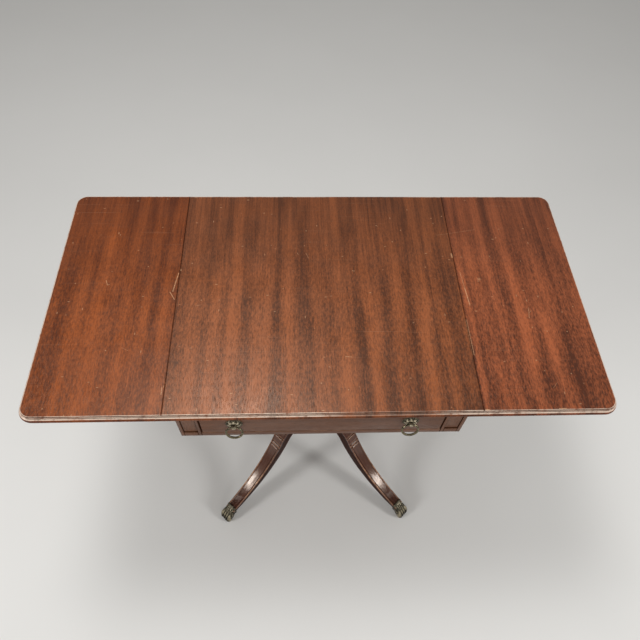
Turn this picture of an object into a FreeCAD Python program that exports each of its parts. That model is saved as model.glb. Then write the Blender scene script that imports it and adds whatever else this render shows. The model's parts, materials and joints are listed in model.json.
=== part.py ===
import FreeCAD
import Part
import Sketcher
import math
import os

# Drop-leaf table on a pedestal with four sabre legs, in millimetres.
# The origin is on the floor under the middle of the top: +X is right, the front is -Y, +Z is up.

SIZES = {
    # Top
    "overall_height": 686.0,
    "centre_width": 533.0,
    "leaf_width": 235.0,
    "top_depth": 508.0,
    "board_thickness": 20.0,
    "leaf_corner_radius": 25.0,
    # Edge moulding, counted inwards from the bead and down from the top
    "lip_setback": 5.0,
    "lip_height": 2.5,
    "fillet_height": 2.0,
    "bead_setback": 3.5,
    "bead_height": 12.0,
    # Rule joint between the centre board and a leaf
    "rule_fillet": 3.0,
    "pin_rise": 3.5,
    "rule_gap": 0.5,
    # Leaf hinges
    "hinge_end_inset": 94.0,
    "hinge_length": 38.0,
    "hinge_reach": 42.0,
    "plate_thickness": 2.0,
    "knuckle_radius": 3.2,
    "hinge_pin_radius": 1.5,
    "knuckle_gap": 0.3,
    "knuckle_channel_gap": 0.6,
    "running_gap": 0.05,
    "hinge_screw_radius": 1.6,
    "hinge_screw_head_radius": 3.0,
    "hinge_screw_length": 13.0,
    # Apron
    "apron_side_inset": 12.5,
    "apron_end_inset": 17.5,
    "apron_height": 97.5,
    "stile_width": 38.0,
    "stile_thickness": 18.0,
    "stile_border": 6.0,
    "stile_field_depth": 2.0,
    "back_rail_thickness": 18.0,
    "front_top_rail_height": 8.0,
    "front_bottom_rail_height": 14.5,
    "front_rail_depth": 55.0,
    "fly_thickness": 18.0,
    "fly_pivot_offset": 75.0,
    "fly_length": 150.0,
    "fly_gap": 0.8,
    "fly_top_gap": 0.4,
    "fly_side_gap": 0.3,
    "fly_pin_radius": 2.5,
    "fly_finger_gap": 0.4,
    "finger_notch_radius": 16.0,
    "finger_notch_depth": 11.0,
    "runner_width": 20.0,
    "kicker_height": 15.0,
    "kicker_screw_offset": 96.0,
    "stop_width": 30.0,
    "stop_depth": 15.0,
    "stop_height": 6.0,
    "stop_offset": 120.0,
    "stop_gap": 0.3,
    "glue_block_leg": 30.0,
    "glue_block_height": 55.0,
    "top_screw_radius": 2.2,
    "top_screw_head_radius": 4.2,
    "top_screw_bite": 12.0,
    "screw_slot_width": 1.0,
    "screw_slot_depth": 0.8,
    # Drawer
    "drawer_front_gap": 1.0,
    "drawer_lift": 0.3,
    "drawer_front_thickness": 18.0,
    "drawer_wall": 10.0,
    "drawer_back_gap": 59.0,
    "drawer_side_height": 62.0,
    "drawer_back_height": 46.0,
    "drawer_bottom_thickness": 5.0,
    "drawer_bottom_rise": 8.0,
    "drawer_groove": 5.0,
    "tail_length": 12.0,
    "tail_height": 11.0,
    "tail_flare": 2.0,
    # Ring pulls
    "pull_offset": 155.0,
    "rosette_radius": 15.0,
    "rosette_thickness": 5.5,
    "pull_reach": 7.3,
    "neck_radius": 2.5,
    "eye_radius": 4.2,
    "eye_width": 6.0,
    "eye_hole_radius": 2.2,
    "ring_radius": 14.2,
    "ring_wire_radius": 1.6,
    "ring_tilt": 16.0,
    "nut_width": 9.0,
    "nut_height": 4.0,
    "shank_end": 3.0,
    # Pedestal
    "leg_angle": 45.0,
    "bearer_half_width": 60.0,
    "bearer_thickness": 20.0,
    "bearer_front_overlap": 29.5,
    "bearer_back_overlap": 14.0,
    "bearer_cant": 4.0,
    "bearer_screw_radius": 2.5,
    "bearer_screw_head_radius": 4.2,
    "bearer_screw_bite": 8.0,
    "tenon_radius": 20.0,
    "column_radius": 46.0,
    "hub_bottom": 182.0,
    "hub_height": 64.0,
    "leg_width": 31.0,
    "toe_width": 27.0,
    "leg_root_height": 56.0,
    "knee_top_radius": 102.0,
    "knee_top_angle": 62.0,
    "knee_flat": 16.0,
    "knee_bottom_radius": 50.0,
    "knee_bottom_angle": 60.0,
    "toe_reach": 312.0,
    "toe_height": 38.0,
    "toe_depth": 19.0,
    "tongue_width": 14.0,
    "tongue_length": 20.0,
    "tongue_height": 46.0,
    "cope_gap": 0.1,
    "reed_radius": 1.6,
    "reed_edge": 4.6,
    "cross_cut_radius": 1.3,
    "brace_arm_width": 16.0,
    "brace_reach": 61.0,
    "brace_thickness": 2.5,
    "brace_screw_place": 53.0,
    "brace_screw_radius": 2.0,
    "brace_screw_head_radius": 3.6,
    "brace_screw_length": 16.0,
    # Toe caps
    "cap_overlap": 10.0,
    "cap_wall": 2.2,
    "cap_length": 24.0,
    "cap_foot_height": 20.0,
    "cap_flute_radius": 2.4,
    # One overrun serves every cut
    "cut_overrun": 2.0,
}

Z_AXIS = FreeCAD.Vector(0, 0, 1)
X_AXIS = FreeCAD.Vector(1, 0, 0)

# Outline of the turned column: share of the hub's radius, share of the height between the hub and the
# bearer, and for an arc its rise as a share of its chord and the side that it bulges to.
COLUMN_SHARES = (
    (0.90, 0.015),
    (0.60, 0.085, 0.152, 1),
    (0.68, 0.090),
    (0.68, 0.110),
    (0.58, 0.115),
    (0.56, 0.455, 0.115, -1),
    (0.46, 0.470),
    (0.46, 0.660, 0.094, 1),
    (0.56, 0.670),
    (0.56, 0.712, 0.297, -1),
    (0.46, 0.722),
    (0.95, 0.940, 0.116, 1),
    (1.04, 0.950),
    (1.04, 1.000),
)
# Outline of the rosette: share of its radius and share of its thickness.
ROSETTE_SHARES = (
    (1.00, 0.00),
    (1.00, 0.22),
    (0.93, 0.40),
    (0.84, 0.34),
    (0.76, 0.62),
    (0.62, 1.00),
    (0.48, 0.92),
    (0.36, 0.46),
    (0.30, 0.42),
)
# Screws of one hinge plate: share of the plate's reach and share of half its length.
HINGE_SCREW_SHARES = ((0.45, 0.62), (0.45, -0.62), (0.82, 0.0))
# Cuts across a knee: shares of the knee's angle.
CROSS_CUT_SHARES = (0.80, 0.95)
# Rises of a toe cap's arcs as shares of their chords: its hollow back, its toes, its rounded sides.
CAP_HOLLOW_SHARE = 0.10
CAP_TOE_SHARE = 0.16
CAP_SIDE_SHARE = 0.14
# Counts: fingers of a wooden knuckle joint, dovetails of a drawer corner, legs.
FLY_FINGERS = 5
TAILS = 4
LEGS = 4
QUARTERS = (0, 90, 180, 270)


class Size:
    """A number that is worked out from the sheet, with the expression that gives it."""

    def __init__(self, value, text):
        self.value = value
        self.text = text

    def __add__(self, other):
        other = as_size(other)
        return Size(self.value + other.value, f"({self.text} + {other.text})")

    def __sub__(self, other):
        other = as_size(other)
        return Size(self.value - other.value, f"({self.text} - {other.text})")

    def __mul__(self, other):
        other = as_size(other)
        return Size(self.value * other.value, f"({self.text} * {other.text})")

    def __truediv__(self, other):
        other = as_size(other)
        return Size(self.value / other.value, f"({self.text} / {other.text})")

    def __neg__(self):
        return Size(-self.value, f"(-1 * {self.text})")

    def root(self):
        return Size(math.sqrt(self.value), f"sqrt({self.text})")

    def sine(self):
        return Size(math.sin(math.radians(self.value)), f"sin({self.text})")

    def cosine(self):
        return Size(math.cos(math.radians(self.value)), f"cos({self.text})")


def as_size(number):
    """Give a plain share or zero the form of a Size."""
    return number if isinstance(number, Size) else Size(float(number), f"{float(number):.6f}")


class Named:
    """The sheet's sizes by their names."""


def make_sheet():
    """Fill the spreadsheet and give its sizes by name."""
    sheet = doc.addObject("Spreadsheet::Sheet", "Sizes")
    named = Named()
    for row, (name, value) in enumerate(SIZES.items(), start=1):
        sheet.set(f"A{row}", name)
        sheet.set(f"B{row}", str(value))
        sheet.setAlias(f"B{row}", name)
        setattr(named, name, Size(value, f"Sizes.{name}"))
    doc.recompute()
    return named


def place(thing, at, turn=0, axis=Z_AXIS):
    """Put an object at a point, turned about an axis through it."""
    angle = as_size(turn)
    point = [as_size(number) for number in at]
    base = FreeCAD.Vector(*[number.value for number in point])
    thing.Placement = FreeCAD.Placement(base, FreeCAD.Rotation(axis, angle.value))
    for letter, number in zip("xyz", point):
        thing.setExpression(f".Placement.Base.{letter}", number.text)
    if isinstance(turn, Size):
        thing.setExpression(".Placement.Rotation.Angle", angle.text)


def new_body(name, at=(0, 0, 0), turn=0, axis=Z_AXIS):
    """Start a body at its place."""
    body = doc.addObject("PartDesign::Body", name)
    body.Label = name
    place(body, at, turn, axis)
    return body


def sketch_on(body, role, offset=0):
    """Attach a new sketch to one of the body's origin planes, moved along the plane's normal."""
    sketch = body.newObject("Sketcher::SketchObject", f"{body.Name}_sketch")
    plane = next(feature for feature in body.Origin.OriginFeatures if feature.Role == role)
    sketch.AttachmentSupport = (plane, [""])
    sketch.MapMode = "FlatFace"
    shift = as_size(offset)
    sketch.AttachmentOffset = FreeCAD.Placement(FreeCAD.Vector(0, 0, shift.value), FreeCAD.Rotation())
    sketch.setExpression("AttachmentOffset.Base.z", shift.text)
    return sketch


def arc_between(start, end, radius, side):
    """Give the arc of less than half a turn from start to end that bulges left (1) or right (-1)."""
    chord = end - start
    half = chord.Length / 2
    left = FreeCAD.Vector(-chord.y, chord.x, 0).normalize()
    rise = math.sqrt(max(radius * radius - half * half, 0))
    centre = (start + end) / 2 - left * side * rise
    circle = Part.Circle(centre, Z_AXIS, radius)
    first, last = (end, start) if side > 0 else (start, end)
    angles = [math.atan2(point.y - centre.y, point.x - centre.x) for point in (first, last)]
    return Part.ArcOfCircle(circle, angles[0], angles[1])


def hold(sketch, kind, geometry, position, size):
    """Tie one coordinate of a point, or an arc's radius, to the sheet."""
    if kind == "Radius":
        index = sketch.addConstraint(Sketcher.Constraint(kind, geometry, size.value))
    else:
        index = sketch.addConstraint(Sketcher.Constraint(kind, -1, 1, geometry, position, size.value))
    sketch.setExpression(f"Constraints[{index}]", size.text)


def draw(sketch, corners, closed=True):
    """Draw an outline. A corner is (x, y), or (x, y, radius, side) where an arc leads to it."""
    corners = [tuple(as_size(number) for number in corner[:3]) + tuple(corner[3:]) for corner in corners]
    points = [FreeCAD.Vector(corner[0].value, corner[1].value, 0) for corner in corners]
    pairs = range(len(corners)) if closed else range(1, len(corners))
    ends = {}
    first_edge = sketch.GeometryCount
    for index in pairs:
        corner = corners[index]
        start, end = points[index - 1], points[index]
        if len(corner) == 4:
            geometry = sketch.addGeometry(arc_between(start, end, corner[2].value, corner[3]), False)
            ends[index] = (geometry, 2, 1) if corner[3] > 0 else (geometry, 1, 2)
            hold(sketch, "Radius", geometry, 0, corner[2])
        else:
            geometry = sketch.addGeometry(Part.LineSegment(start, end), False)
            ends[index] = (geometry, 1, 2)
        hold(sketch, "DistanceX", geometry, ends[index][2], corner[0])
        hold(sketch, "DistanceY", geometry, ends[index][2], corner[1])
    if not closed:
        hold(sketch, "DistanceX", first_edge, ends[1][1], corners[0][0])
        hold(sketch, "DistanceY", first_edge, ends[1][1], corners[0][1])
    for index in pairs:
        following = (index + 1) % len(corners)
        if following in ends:
            here, there = ends[index], ends[following]
            join = Sketcher.Constraint("Coincident", here[0], here[2], there[0], there[1])
            sketch.addConstraint(join)


def arc_to(start, end, rise_share, side):
    """Give the corner at the end of an arc whose rise is a share of its chord."""
    run = as_size(end[0]) - start[0]
    climb = as_size(end[1]) - start[1]
    chord = (run * run + climb * climb).root()
    return end[0], end[1], chord * (0.125 / rise_share + rise_share / 2), side


def draw_circle(sketch, x, y, radius):
    """Draw a circle that is tied to the sheet."""
    x, y, radius = as_size(x), as_size(y), as_size(radius)
    centre = FreeCAD.Vector(x.value, y.value, 0)
    geometry = sketch.addGeometry(Part.Circle(centre, Z_AXIS, radius.value), False)
    hold(sketch, "Radius", geometry, 0, radius)
    hold(sketch, "DistanceX", geometry, 3, x)
    hold(sketch, "DistanceY", geometry, 3, y)


def feature(body, kind, sketch, length, symmetric=False, reverse=False):
    """Add a Pad or a Pocket of a bound length."""
    item = body.newObject(f"PartDesign::{kind}", f"{body.Name}_{kind.lower()}")
    item.Profile = sketch
    item.SideType = "Symmetric" if symmetric else "One side"
    item.Reversed = reverse
    length = as_size(length)
    item.Length = length.value
    item.setExpression("Length", length.text)
    return item


def turned(body, sketch):
    """Revolve a sketch about its vertical axis."""
    item = body.newObject("PartDesign::Revolution", f"{body.Name}_turning")
    item.Profile = sketch
    item.ReferenceAxis = (sketch, ["V_Axis"])
    item.Angle = 360.0
    return item


def board(name, low, high):
    """Make a squared board between two corners, from a rectangle padded upwards."""
    spans = [as_size(top) - bottom for bottom, top in zip(low, high)]
    body = new_body(name, low)
    sketch = sketch_on(body, "XY_Plane")
    draw(sketch, ((0, 0), (spans[0], 0), (spans[0], spans[1]), (0, spans[1])))
    feature(body, "Pad", sketch, spans[2])
    return body


def cut_by(name, base, *tools):
    """Cut holes and sockets in a blank with the pieces that go into it."""
    for tool in tools:
        cut = doc.addObject("Part::Cut", f"{name}_cut")
        cut.Base = base
        cut.Tool = tool
        base = cut
    base.Label = name
    return base


def group(name, *things):
    """Keep separate solids together as one node."""
    compound = doc.addObject("Part::Compound", f"{name}_group")
    compound.Links = list(things)
    compound.Label = name
    return compound


def screw_shape(radius, head_radius, length):
    """Make a countersunk screw with a slot, pointing up from the plane of its head."""
    sink = head_radius - radius
    half_slot = head_radius + s.cut_overrun
    head = Part.makeCone(head_radius.value, radius.value, sink.value)
    shank = Part.makeCylinder(radius.value, (length - radius - sink).value, Z_AXIS * sink.value)
    point = Part.makeCone(radius.value, 0, radius.value, Z_AXIS * (length - radius).value)
    slot = Part.makeBox(
        (half_slot * 2).value,
        s.screw_slot_width.value,
        (s.screw_slot_depth + s.cut_overrun).value,
        FreeCAD.Vector(-half_slot.value, -(s.screw_slot_width / 2).value, -s.cut_overrun.value),
    )
    return head.fuse(shank).fuse(point).removeSplitter().cut(slot)


def screws(name, radius, head_radius, length, places):
    """Set equal screws at their places as separate solids of one node."""
    single = screw_shape(radius, head_radius, length)
    solids = []
    for place_of_one in places:
        solid = single.copy()
        solid.translate(FreeCAD.Vector(*[as_size(number).value for number in place_of_one]))
        solids.append(solid)
    thing = doc.addObject("Part::Feature", name)
    thing.Shape = Part.makeCompound(solids)
    thing.Label = name
    thing.Placement = FreeCAD.Placement()
    return thing


def edge_profile(edge, top, bottom, side):
    """Give the stepped and beaded edge from the top down, outwards to one side."""
    bead_radius = (s.bead_height * s.bead_height / 4 + s.bead_setback * s.bead_setback) / (s.bead_setback * 2)
    lip = (edge - s.lip_setback) * side
    bead = (edge - s.bead_setback) * side
    lip_foot = top - s.lip_height
    bead_top = lip_foot - s.fillet_height
    return (
        (lip, top),
        (lip, lip_foot),
        (bead, lip_foot),
        (bead, bead_top),
        (bead, bead_top - s.bead_height, bead_radius, side),
        (bead, bottom),
    )


def reverse_outline(corners):
    """Run an open outline the other way, so that its arcs lead to their other ends."""
    turned_round = []
    arc = ()
    for corner in reversed(corners):
        turned_round.append(tuple(corner[:2]) + arc)
        arc = (corner[2], -corner[3]) if len(corner) == 4 else ()
    return tuple(turned_round)


# Top

def make_centre_board():
    """Centre board: moulded front and back, with the round of the rule joint along both sides."""
    body = new_body("centre_board_blank", (0, 0, underside))
    half = s.top_depth / 2
    section = sketch_on(body, "YZ_Plane")
    front = edge_profile(half, s.board_thickness, 0, 1)
    back = edge_profile(half, s.board_thickness, 0, -1)
    draw(section, front + reverse_outline(back))
    feature(body, "Pad", section, s.centre_width + rule_radius * 2, symmetric=True)
    rule = sketch_on(body, "XZ_Plane")
    over = s.cut_overrun
    for side in (1, -1):
        seam = s.centre_width / 2 * side
        foot = (s.centre_width / 2 + rule_radius) * side
        out = (s.centre_width / 2 + rule_radius + over) * side
        draw(rule, (
            (seam, s.board_thickness + over),
            (seam, s.board_thickness - s.rule_fillet),
            (foot, s.pin_rise, rule_radius, side),
            (out, s.pin_rise),
            (out, s.board_thickness + over),
        ))
    feature(body, "Pocket", rule, s.top_depth + over, symmetric=True)
    for row in (1, -1):
        mortise = sketch_on(body, "XZ_Plane", hinge_offset * row)
        channel = s.knuckle_radius + s.knuckle_channel_gap
        for side in (1, -1):
            pin = s.centre_width / 2 * side
            reach = s.hinge_reach * side
            wide = channel * side
            out = (s.centre_width / 2 + rule_radius + over) * side
            draw(mortise, (
                (pin - reach, -over),
                (pin - reach, s.plate_thickness),
                (pin - wide, s.plate_thickness),
                (pin - wide, s.pin_rise),
                (pin, s.pin_rise + channel, channel, side),
                (pin + wide, s.pin_rise, channel, side),
                (pin + wide, s.plate_thickness + s.knuckle_gap),
                (out, s.plate_thickness + s.knuckle_gap),
                (out, -over),
            ))
        feature(body, "Pocket", mortise, s.hinge_length + s.knuckle_gap * 2, symmetric=True)
    return body


def make_leaf(name, turn, side):
    """Leaf: rounded outer corners, edge moulding swept round three sides, hollow of the rule joint."""
    body = new_body(name, (s.centre_width / 2 * side, 0, pin_height), turn)
    over = s.cut_overrun
    half = s.top_depth / 2
    top = s.board_thickness - s.pin_rise
    plan = sketch_on(body, "XY_Plane", -s.pin_rise)
    wide = s.leaf_width + over
    deep = half + over
    round_off = s.leaf_corner_radius + over
    draw(plan, (
        (s.rule_gap, -deep),
        (wide - round_off, -deep),
        (wide, round_off - deep, round_off, -1),
        (wide, deep - round_off),
        (wide - round_off, deep, round_off, -1),
        (s.rule_gap, deep),
    ))
    feature(body, "Pad", plan, s.board_thickness)
    path = sketch_on(body, "XY_Plane", top)
    wide = s.leaf_width - s.lip_setback
    deep = half - s.lip_setback
    round_off = s.leaf_corner_radius - s.lip_setback
    draw(path, (
        (-over, -deep),
        (wide - round_off, -deep),
        (wide, round_off - deep, round_off, -1),
        (wide, deep - round_off),
        (wide - round_off, deep, round_off, -1),
        (-over, deep),
    ), closed=False)
    waste = sketch_on(body, "YZ_Plane", -over)
    outside = -half - over * 2
    draw(waste, (
        (s.lip_setback - half, top + over),
    ) + edge_profile(half, top, -s.pin_rise - over, -1)[1:] + (
        (outside, -s.pin_rise - over),
        (outside, top + over),
    ))
    moulding = body.newObject("PartDesign::SubtractivePipe", f"{body.Name}_moulding")
    moulding.Profile = waste
    moulding.Spine = (path, [f"Edge{number}" for number in range(1, path.GeometryCount + 1)])
    cove_radius = rule_radius + s.rule_gap
    cove_top = (cove_radius * cove_radius - s.rule_gap * s.rule_gap).root()
    cove = sketch_on(body, "XZ_Plane")
    draw(cove, (
        (-over, -s.pin_rise - over),
        (cove_radius, -s.pin_rise - over),
        (cove_radius, 0),
        (s.rule_gap, cove_top, cove_radius, -1),
        (-over, cove_top),
    ))
    feature(body, "Pocket", cove, s.top_depth + over * 3, symmetric=True)
    for row in (1, -1):
        mortise = sketch_on(body, "XZ_Plane", hinge_offset * row)
        draw(mortise, (
            (cove_radius - over, -s.pin_rise - over),
            (s.hinge_reach, -s.pin_rise - over),
            (s.hinge_reach, s.plate_thickness - s.pin_rise),
            (cove_radius - over, s.plate_thickness - s.pin_rise),
        ))
        feature(body, "Pocket", mortise, s.hinge_length + s.knuckle_gap * 2, symmetric=True)
    return body


# Leaf hinges

def make_hinge_plate(name, moving, side, row):
    """Hinge plate with its share of the three knuckles, about the pin's axis."""
    at = (s.centre_width / 2 * side, hinge_offset * row, pin_height)
    body = new_body(f"{name}_blank", at, 0 if side > 0 else 180)
    half = s.hinge_length / 2
    notch = s.knuckle_radius + s.knuckle_channel_gap + s.knuckle_gap / 3
    middle = s.hinge_length / 6 - s.knuckle_gap / 2
    break_in = s.hinge_length / 6 + s.knuckle_gap / 2
    plan = sketch_on(body, "XY_Plane", -s.pin_rise)
    if moving:
        draw(plan, (
            (s.hinge_reach, -half), (s.hinge_reach, half), (notch, half), (notch, middle),
            (0, middle), (0, -middle), (notch, -middle), (notch, -half),
        ))
    else:
        draw(plan, (
            (-s.hinge_reach, -half), (0, -half), (0, -break_in), (-notch, -break_in),
            (-notch, break_in), (0, break_in), (0, half), (-s.hinge_reach, half),
        ))
    feature(body, "Pad", plan, s.plate_thickness)
    barrel = sketch_on(body, "XZ_Plane")
    draw_circle(barrel, 0, 0, s.knuckle_radius)
    feature(body, "Pad", barrel, middle * 2 if moving else s.hinge_length, symmetric=True)
    if not moving:
        opening = sketch_on(body, "XZ_Plane")
        draw_circle(opening, 0, 0, s.knuckle_radius + s.knuckle_gap / 3)
        feature(body, "Pocket", opening, break_in * 2, symmetric=True)
    bore = sketch_on(body, "XZ_Plane")
    draw_circle(bore, 0, 0, s.hinge_pin_radius + s.running_gap if moving else s.hinge_pin_radius)
    feature(body, "Pocket", bore, s.hinge_length + s.cut_overrun, symmetric=True)
    return body


def make_hinge_pin(side, row):
    """Pin of one leaf hinge, lying along the seam."""
    pin = doc.addObject("Part::Cylinder", "hinge_pin")
    pin.setExpression("Radius", s.hinge_pin_radius.text)
    pin.setExpression("Height", s.hinge_length.text)
    place(pin, (s.centre_width / 2 * side, hinge_offset * row + s.hinge_length / 2, pin_height), 90, X_AXIS)
    return pin


def hinge_screw_places(side, row, moving):
    """Places of one plate's screws, in the plane of its lower face."""
    towards = side if moving else -side
    places = []
    for reach_share, length_share in HINGE_SCREW_SHARES:
        x = s.centre_width / 2 * side + s.hinge_reach * reach_share * towards
        y = hinge_offset * row + s.hinge_length / 2 * length_share
        places.append((x, y, underside))
    return places


# Apron frame

def make_stile(name, side):
    """Front stile with a sunk rectangular field."""
    outer = apron_half_width * side
    inner = opening_half * side
    low = inner if side > 0 else outer
    high = outer if side > 0 else inner
    body = board(name, (low, -apron_half_depth, frame_bottom), (high, back_of_front, underside))
    field = sketch_on(body, "XZ_Plane")
    border = s.stile_border
    foot = s.front_bottom_rail_height
    draw(field, (
        (border, foot),
        (s.stile_width - border, foot),
        (s.stile_width - border, s.apron_height - border),
        (border, s.apron_height - border),
    ))
    feature(body, "Pocket", field, s.stile_field_depth)
    return body


def side_board(name, side, inner, outer, y_low, y_high, z_low, z_high):
    """Board on one side of the frame, given by its inner and outer distance from the middle."""
    x_low, x_high = (inner, outer) if side > 0 else (-outer, -inner)
    return board(name, (x_low, y_low, z_low), (x_high, y_high, z_high))


def finger_cuts(body, radius, wanted, height, gap):
    """Cut the knuckle away at alternate finger heights: even ones, or odd ones."""
    step = height / FLY_FINGERS
    for number in range(FLY_FINGERS):
        if number % 2 == wanted:
            low = step * number - gap / 2 if number else -s.cut_overrun
            high = height + s.cut_overrun
            if number < FLY_FINGERS - 1:
                high = step * (number + 1) + gap / 2
            ring = sketch_on(body, "XY_Plane", low)
            draw_circle(ring, 0, 0, radius)
            feature(body, "Pocket", ring, high - low, reverse=True)


def make_fly_piece(name, moving, side):
    """Half of a wooden knuckle joint: the fixed rail, or the bracket that swings out under the leaf."""
    at = ((apron_half_width - s.fly_thickness / 2) * side, s.fly_pivot_offset * side, frame_bottom)
    body = new_body(name, at, 0 if side > 0 else 180)
    half = s.fly_thickness / 2
    gap = s.fly_finger_gap
    inner = half - s.fly_side_gap if moving else half
    height = s.apron_height - s.fly_top_gap if moving else s.apron_height
    way = -1 if moving else 1
    length = s.fly_length if moving else apron_half_depth - s.back_rail_thickness - s.fly_pivot_offset
    plan = sketch_on(body, "XY_Plane")
    draw(plan, (
        (-inner, gap * way),
        (0, gap * way),
        (half, (half + gap) * way),
        (half, length * way),
        (-inner, length * way),
    ))
    feature(body, "Pad", plan, height)
    knuckle = sketch_on(body, "XY_Plane")
    draw_circle(knuckle, 0, 0, inner)
    feature(body, "Pad", knuckle, height)
    finger_cuts(body, half + gap, 0 if moving else 1, height, gap)
    bore = sketch_on(body, "XY_Plane")
    draw_circle(bore, 0, 0, s.fly_pin_radius + s.running_gap if moving else s.fly_pin_radius)
    feature(body, "Pocket", bore, height + s.cut_overrun, reverse=True)
    if moving:
        notch = sketch_on(body, "YZ_Plane")
        near = s.finger_notch_radius * 2 - length
        end = -length - s.cut_overrun
        draw(notch, (
            (end, -s.cut_overrun),
            (near, -s.cut_overrun),
            (near - s.finger_notch_radius, s.finger_notch_depth, s.finger_notch_radius, 1),
            (end, s.finger_notch_depth),
        ))
        feature(body, "Pocket", notch, s.fly_thickness + s.cut_overrun, symmetric=True)
    return body


def make_fly_pin(side):
    """Steel pin of one fly bracket."""
    pin = doc.addObject("Part::Cylinder", "fly_pin")
    pin.setExpression("Radius", s.fly_pin_radius.text)
    pin.setExpression("Height", s.apron_height.text)
    at = ((apron_half_width - s.fly_thickness / 2) * side, s.fly_pivot_offset * side, frame_bottom)
    place(pin, at)
    return pin


def make_glue_block(side):
    """Three-cornered glue block in a rear corner of the frame."""
    leg = s.glue_block_leg
    at = (opening_half * side, front_of_back, frame_bottom + s.front_bottom_rail_height)
    body = new_body("glue_block", at)
    plan = sketch_on(body, "XY_Plane")
    draw(plan, ((0, 0), (-leg * side, 0), (0, -leg)))
    feature(body, "Pad", plan, s.glue_block_height)
    return body


def make_stop(side):
    """Stop on the front bottom rail that meets the back of the drawer front."""
    x = s.stop_offset * side
    front = back_of_front + s.stop_gap
    rail_top = frame_bottom + s.front_bottom_rail_height
    return board(
        "drawer_stop",
        (x - s.stop_width / 2, front, rail_top),
        (x + s.stop_width / 2, front + s.stop_depth, rail_top + s.stop_height),
    )


# Drawer

def make_drawer_front():
    """Drawer front with the groove for the bottom."""
    half = opening_half - s.drawer_front_gap
    rail_top = frame_bottom + s.front_bottom_rail_height
    low = rail_top + s.drawer_front_gap
    high = underside - s.front_top_rail_height - s.drawer_front_gap
    body = board("drawer_front_blank", (-half, -apron_half_depth, low), (half, back_of_front, high))
    groove = sketch_on(body, "XZ_Plane", -s.drawer_front_thickness)
    groove_low = drawer_base + s.drawer_bottom_rise - low
    left = half - drawer_inner_half - s.drawer_groove
    right = half + drawer_inner_half + s.drawer_groove
    draw(groove, (
        (left, groove_low),
        (right, groove_low),
        (right, groove_low + s.drawer_bottom_thickness),
        (left, groove_low + s.drawer_bottom_thickness),
    ))
    feature(body, "Pocket", groove, s.drawer_groove, reverse=True)
    return body


def make_drawer_side(name, side):
    """Drawer side with its groove and the four dovetails that enter the drawer front."""
    inner = drawer_inner_half * side
    outer = (drawer_inner_half + s.drawer_wall) * side
    low = inner if side > 0 else outer
    body = new_body(name, (low, back_of_front, drawer_base))
    blank = sketch_on(body, "XY_Plane")
    draw(blank, (
        (0, 0), (s.drawer_wall, 0),
        (s.drawer_wall, drawer_length), (0, drawer_length),
    ))
    feature(body, "Pad", blank, s.drawer_side_height)
    tails = sketch_on(body, "YZ_Plane")
    pitch = (s.drawer_side_height - s.drawer_lift) / TAILS
    root = s.tail_height / 2 - s.tail_flare
    for number in range(TAILS):
        middle = pitch * (number + 0.5) + s.drawer_lift
        draw(tails, (
            (0, middle - root),
            (0, middle + root),
            (-s.tail_length, middle + s.tail_height / 2),
            (-s.tail_length, middle - s.tail_height / 2),
        ))
    feature(body, "Pad", tails, s.drawer_wall)
    groove = sketch_on(body, "XZ_Plane")
    inner_face = 0 if side > 0 else s.drawer_wall
    depth = s.drawer_groove * (1 if side > 0 else -1)
    rise = s.drawer_bottom_rise
    draw(groove, (
        (inner_face, rise),
        (depth + inner_face, rise),
        (depth + inner_face, rise + s.drawer_bottom_thickness),
        (inner_face, rise + s.drawer_bottom_thickness),
    ))
    feature(body, "Pocket", groove, drawer_length)
    return body


# Ring pulls

def make_rosette(name, side):
    """Round rosette with a raised boss round a dished middle, and a hole for the post's neck."""
    body = new_body(name, (s.pull_offset * side, -apron_half_depth, pull_height), 90, X_AXIS)
    section = sketch_on(body, "XZ_Plane")
    rim = [(s.rosette_radius * radius, s.rosette_thickness * rise) for radius, rise in ROSETTE_SHARES]
    draw(section, [(s.neck_radius, 0)] + rim + [(s.neck_radius, rim[-1][1])])
    turned(body, section)
    return body


def make_post(name, side):
    """Post of a pull: a threaded shank through the drawer front, a neck and an eye for the ring."""
    body = new_body(name, (s.pull_offset * side, -apron_half_depth, pull_height), 90, X_AXIS)
    section = sketch_on(body, "XZ_Plane")
    tail = -s.drawer_front_thickness - s.nut_height - s.shank_end
    tip = s.pull_reach - (s.eye_radius + s.eye_hole_radius) / 2
    draw(section, ((0, tail), (s.neck_radius, tail), (s.neck_radius, tip), (0, tip)))
    turned(body, section)
    eye = sketch_on(body, "YZ_Plane")
    draw_circle(eye, 0, s.pull_reach, s.eye_radius)
    feature(body, "Pad", eye, s.eye_width, symmetric=True)
    hole = sketch_on(body, "YZ_Plane")
    draw_circle(hole, 0, s.pull_reach, s.eye_hole_radius)
    feature(body, "Pocket", hole, s.eye_width + s.cut_overrun, symmetric=True)
    return body


def make_nut(side):
    """Square nut on the end of a post, inside the drawer."""
    at = (s.pull_offset * side, back_of_front, pull_height)
    body = new_body("nut", at, -90, X_AXIS)
    plan = sketch_on(body, "XY_Plane")
    half = s.nut_width / 2
    draw(plan, ((-half, -half), (half, -half), (half, half), (-half, half)))
    draw_circle(plan, 0, 0, s.neck_radius)
    feature(body, "Pad", plan, s.nut_height)
    return body


def make_ring(name, side):
    """Ring that hangs in the eye, standing off the drawer front by its tilt."""
    ring = doc.addObject("Part::Torus", name)
    ring.setExpression("Radius1", s.ring_radius.text)
    ring.setExpression("Radius2", s.ring_wire_radius.text)
    ring.Label = name
    y = -apron_half_depth - s.pull_reach - s.ring_radius * s.ring_tilt.sine()
    z = pull_height - s.ring_radius * s.ring_tilt.cosine()
    place(ring, (s.pull_offset * side, y, z), -s.ring_tilt + 90, X_AXIS)
    return ring


# Pedestal

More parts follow.
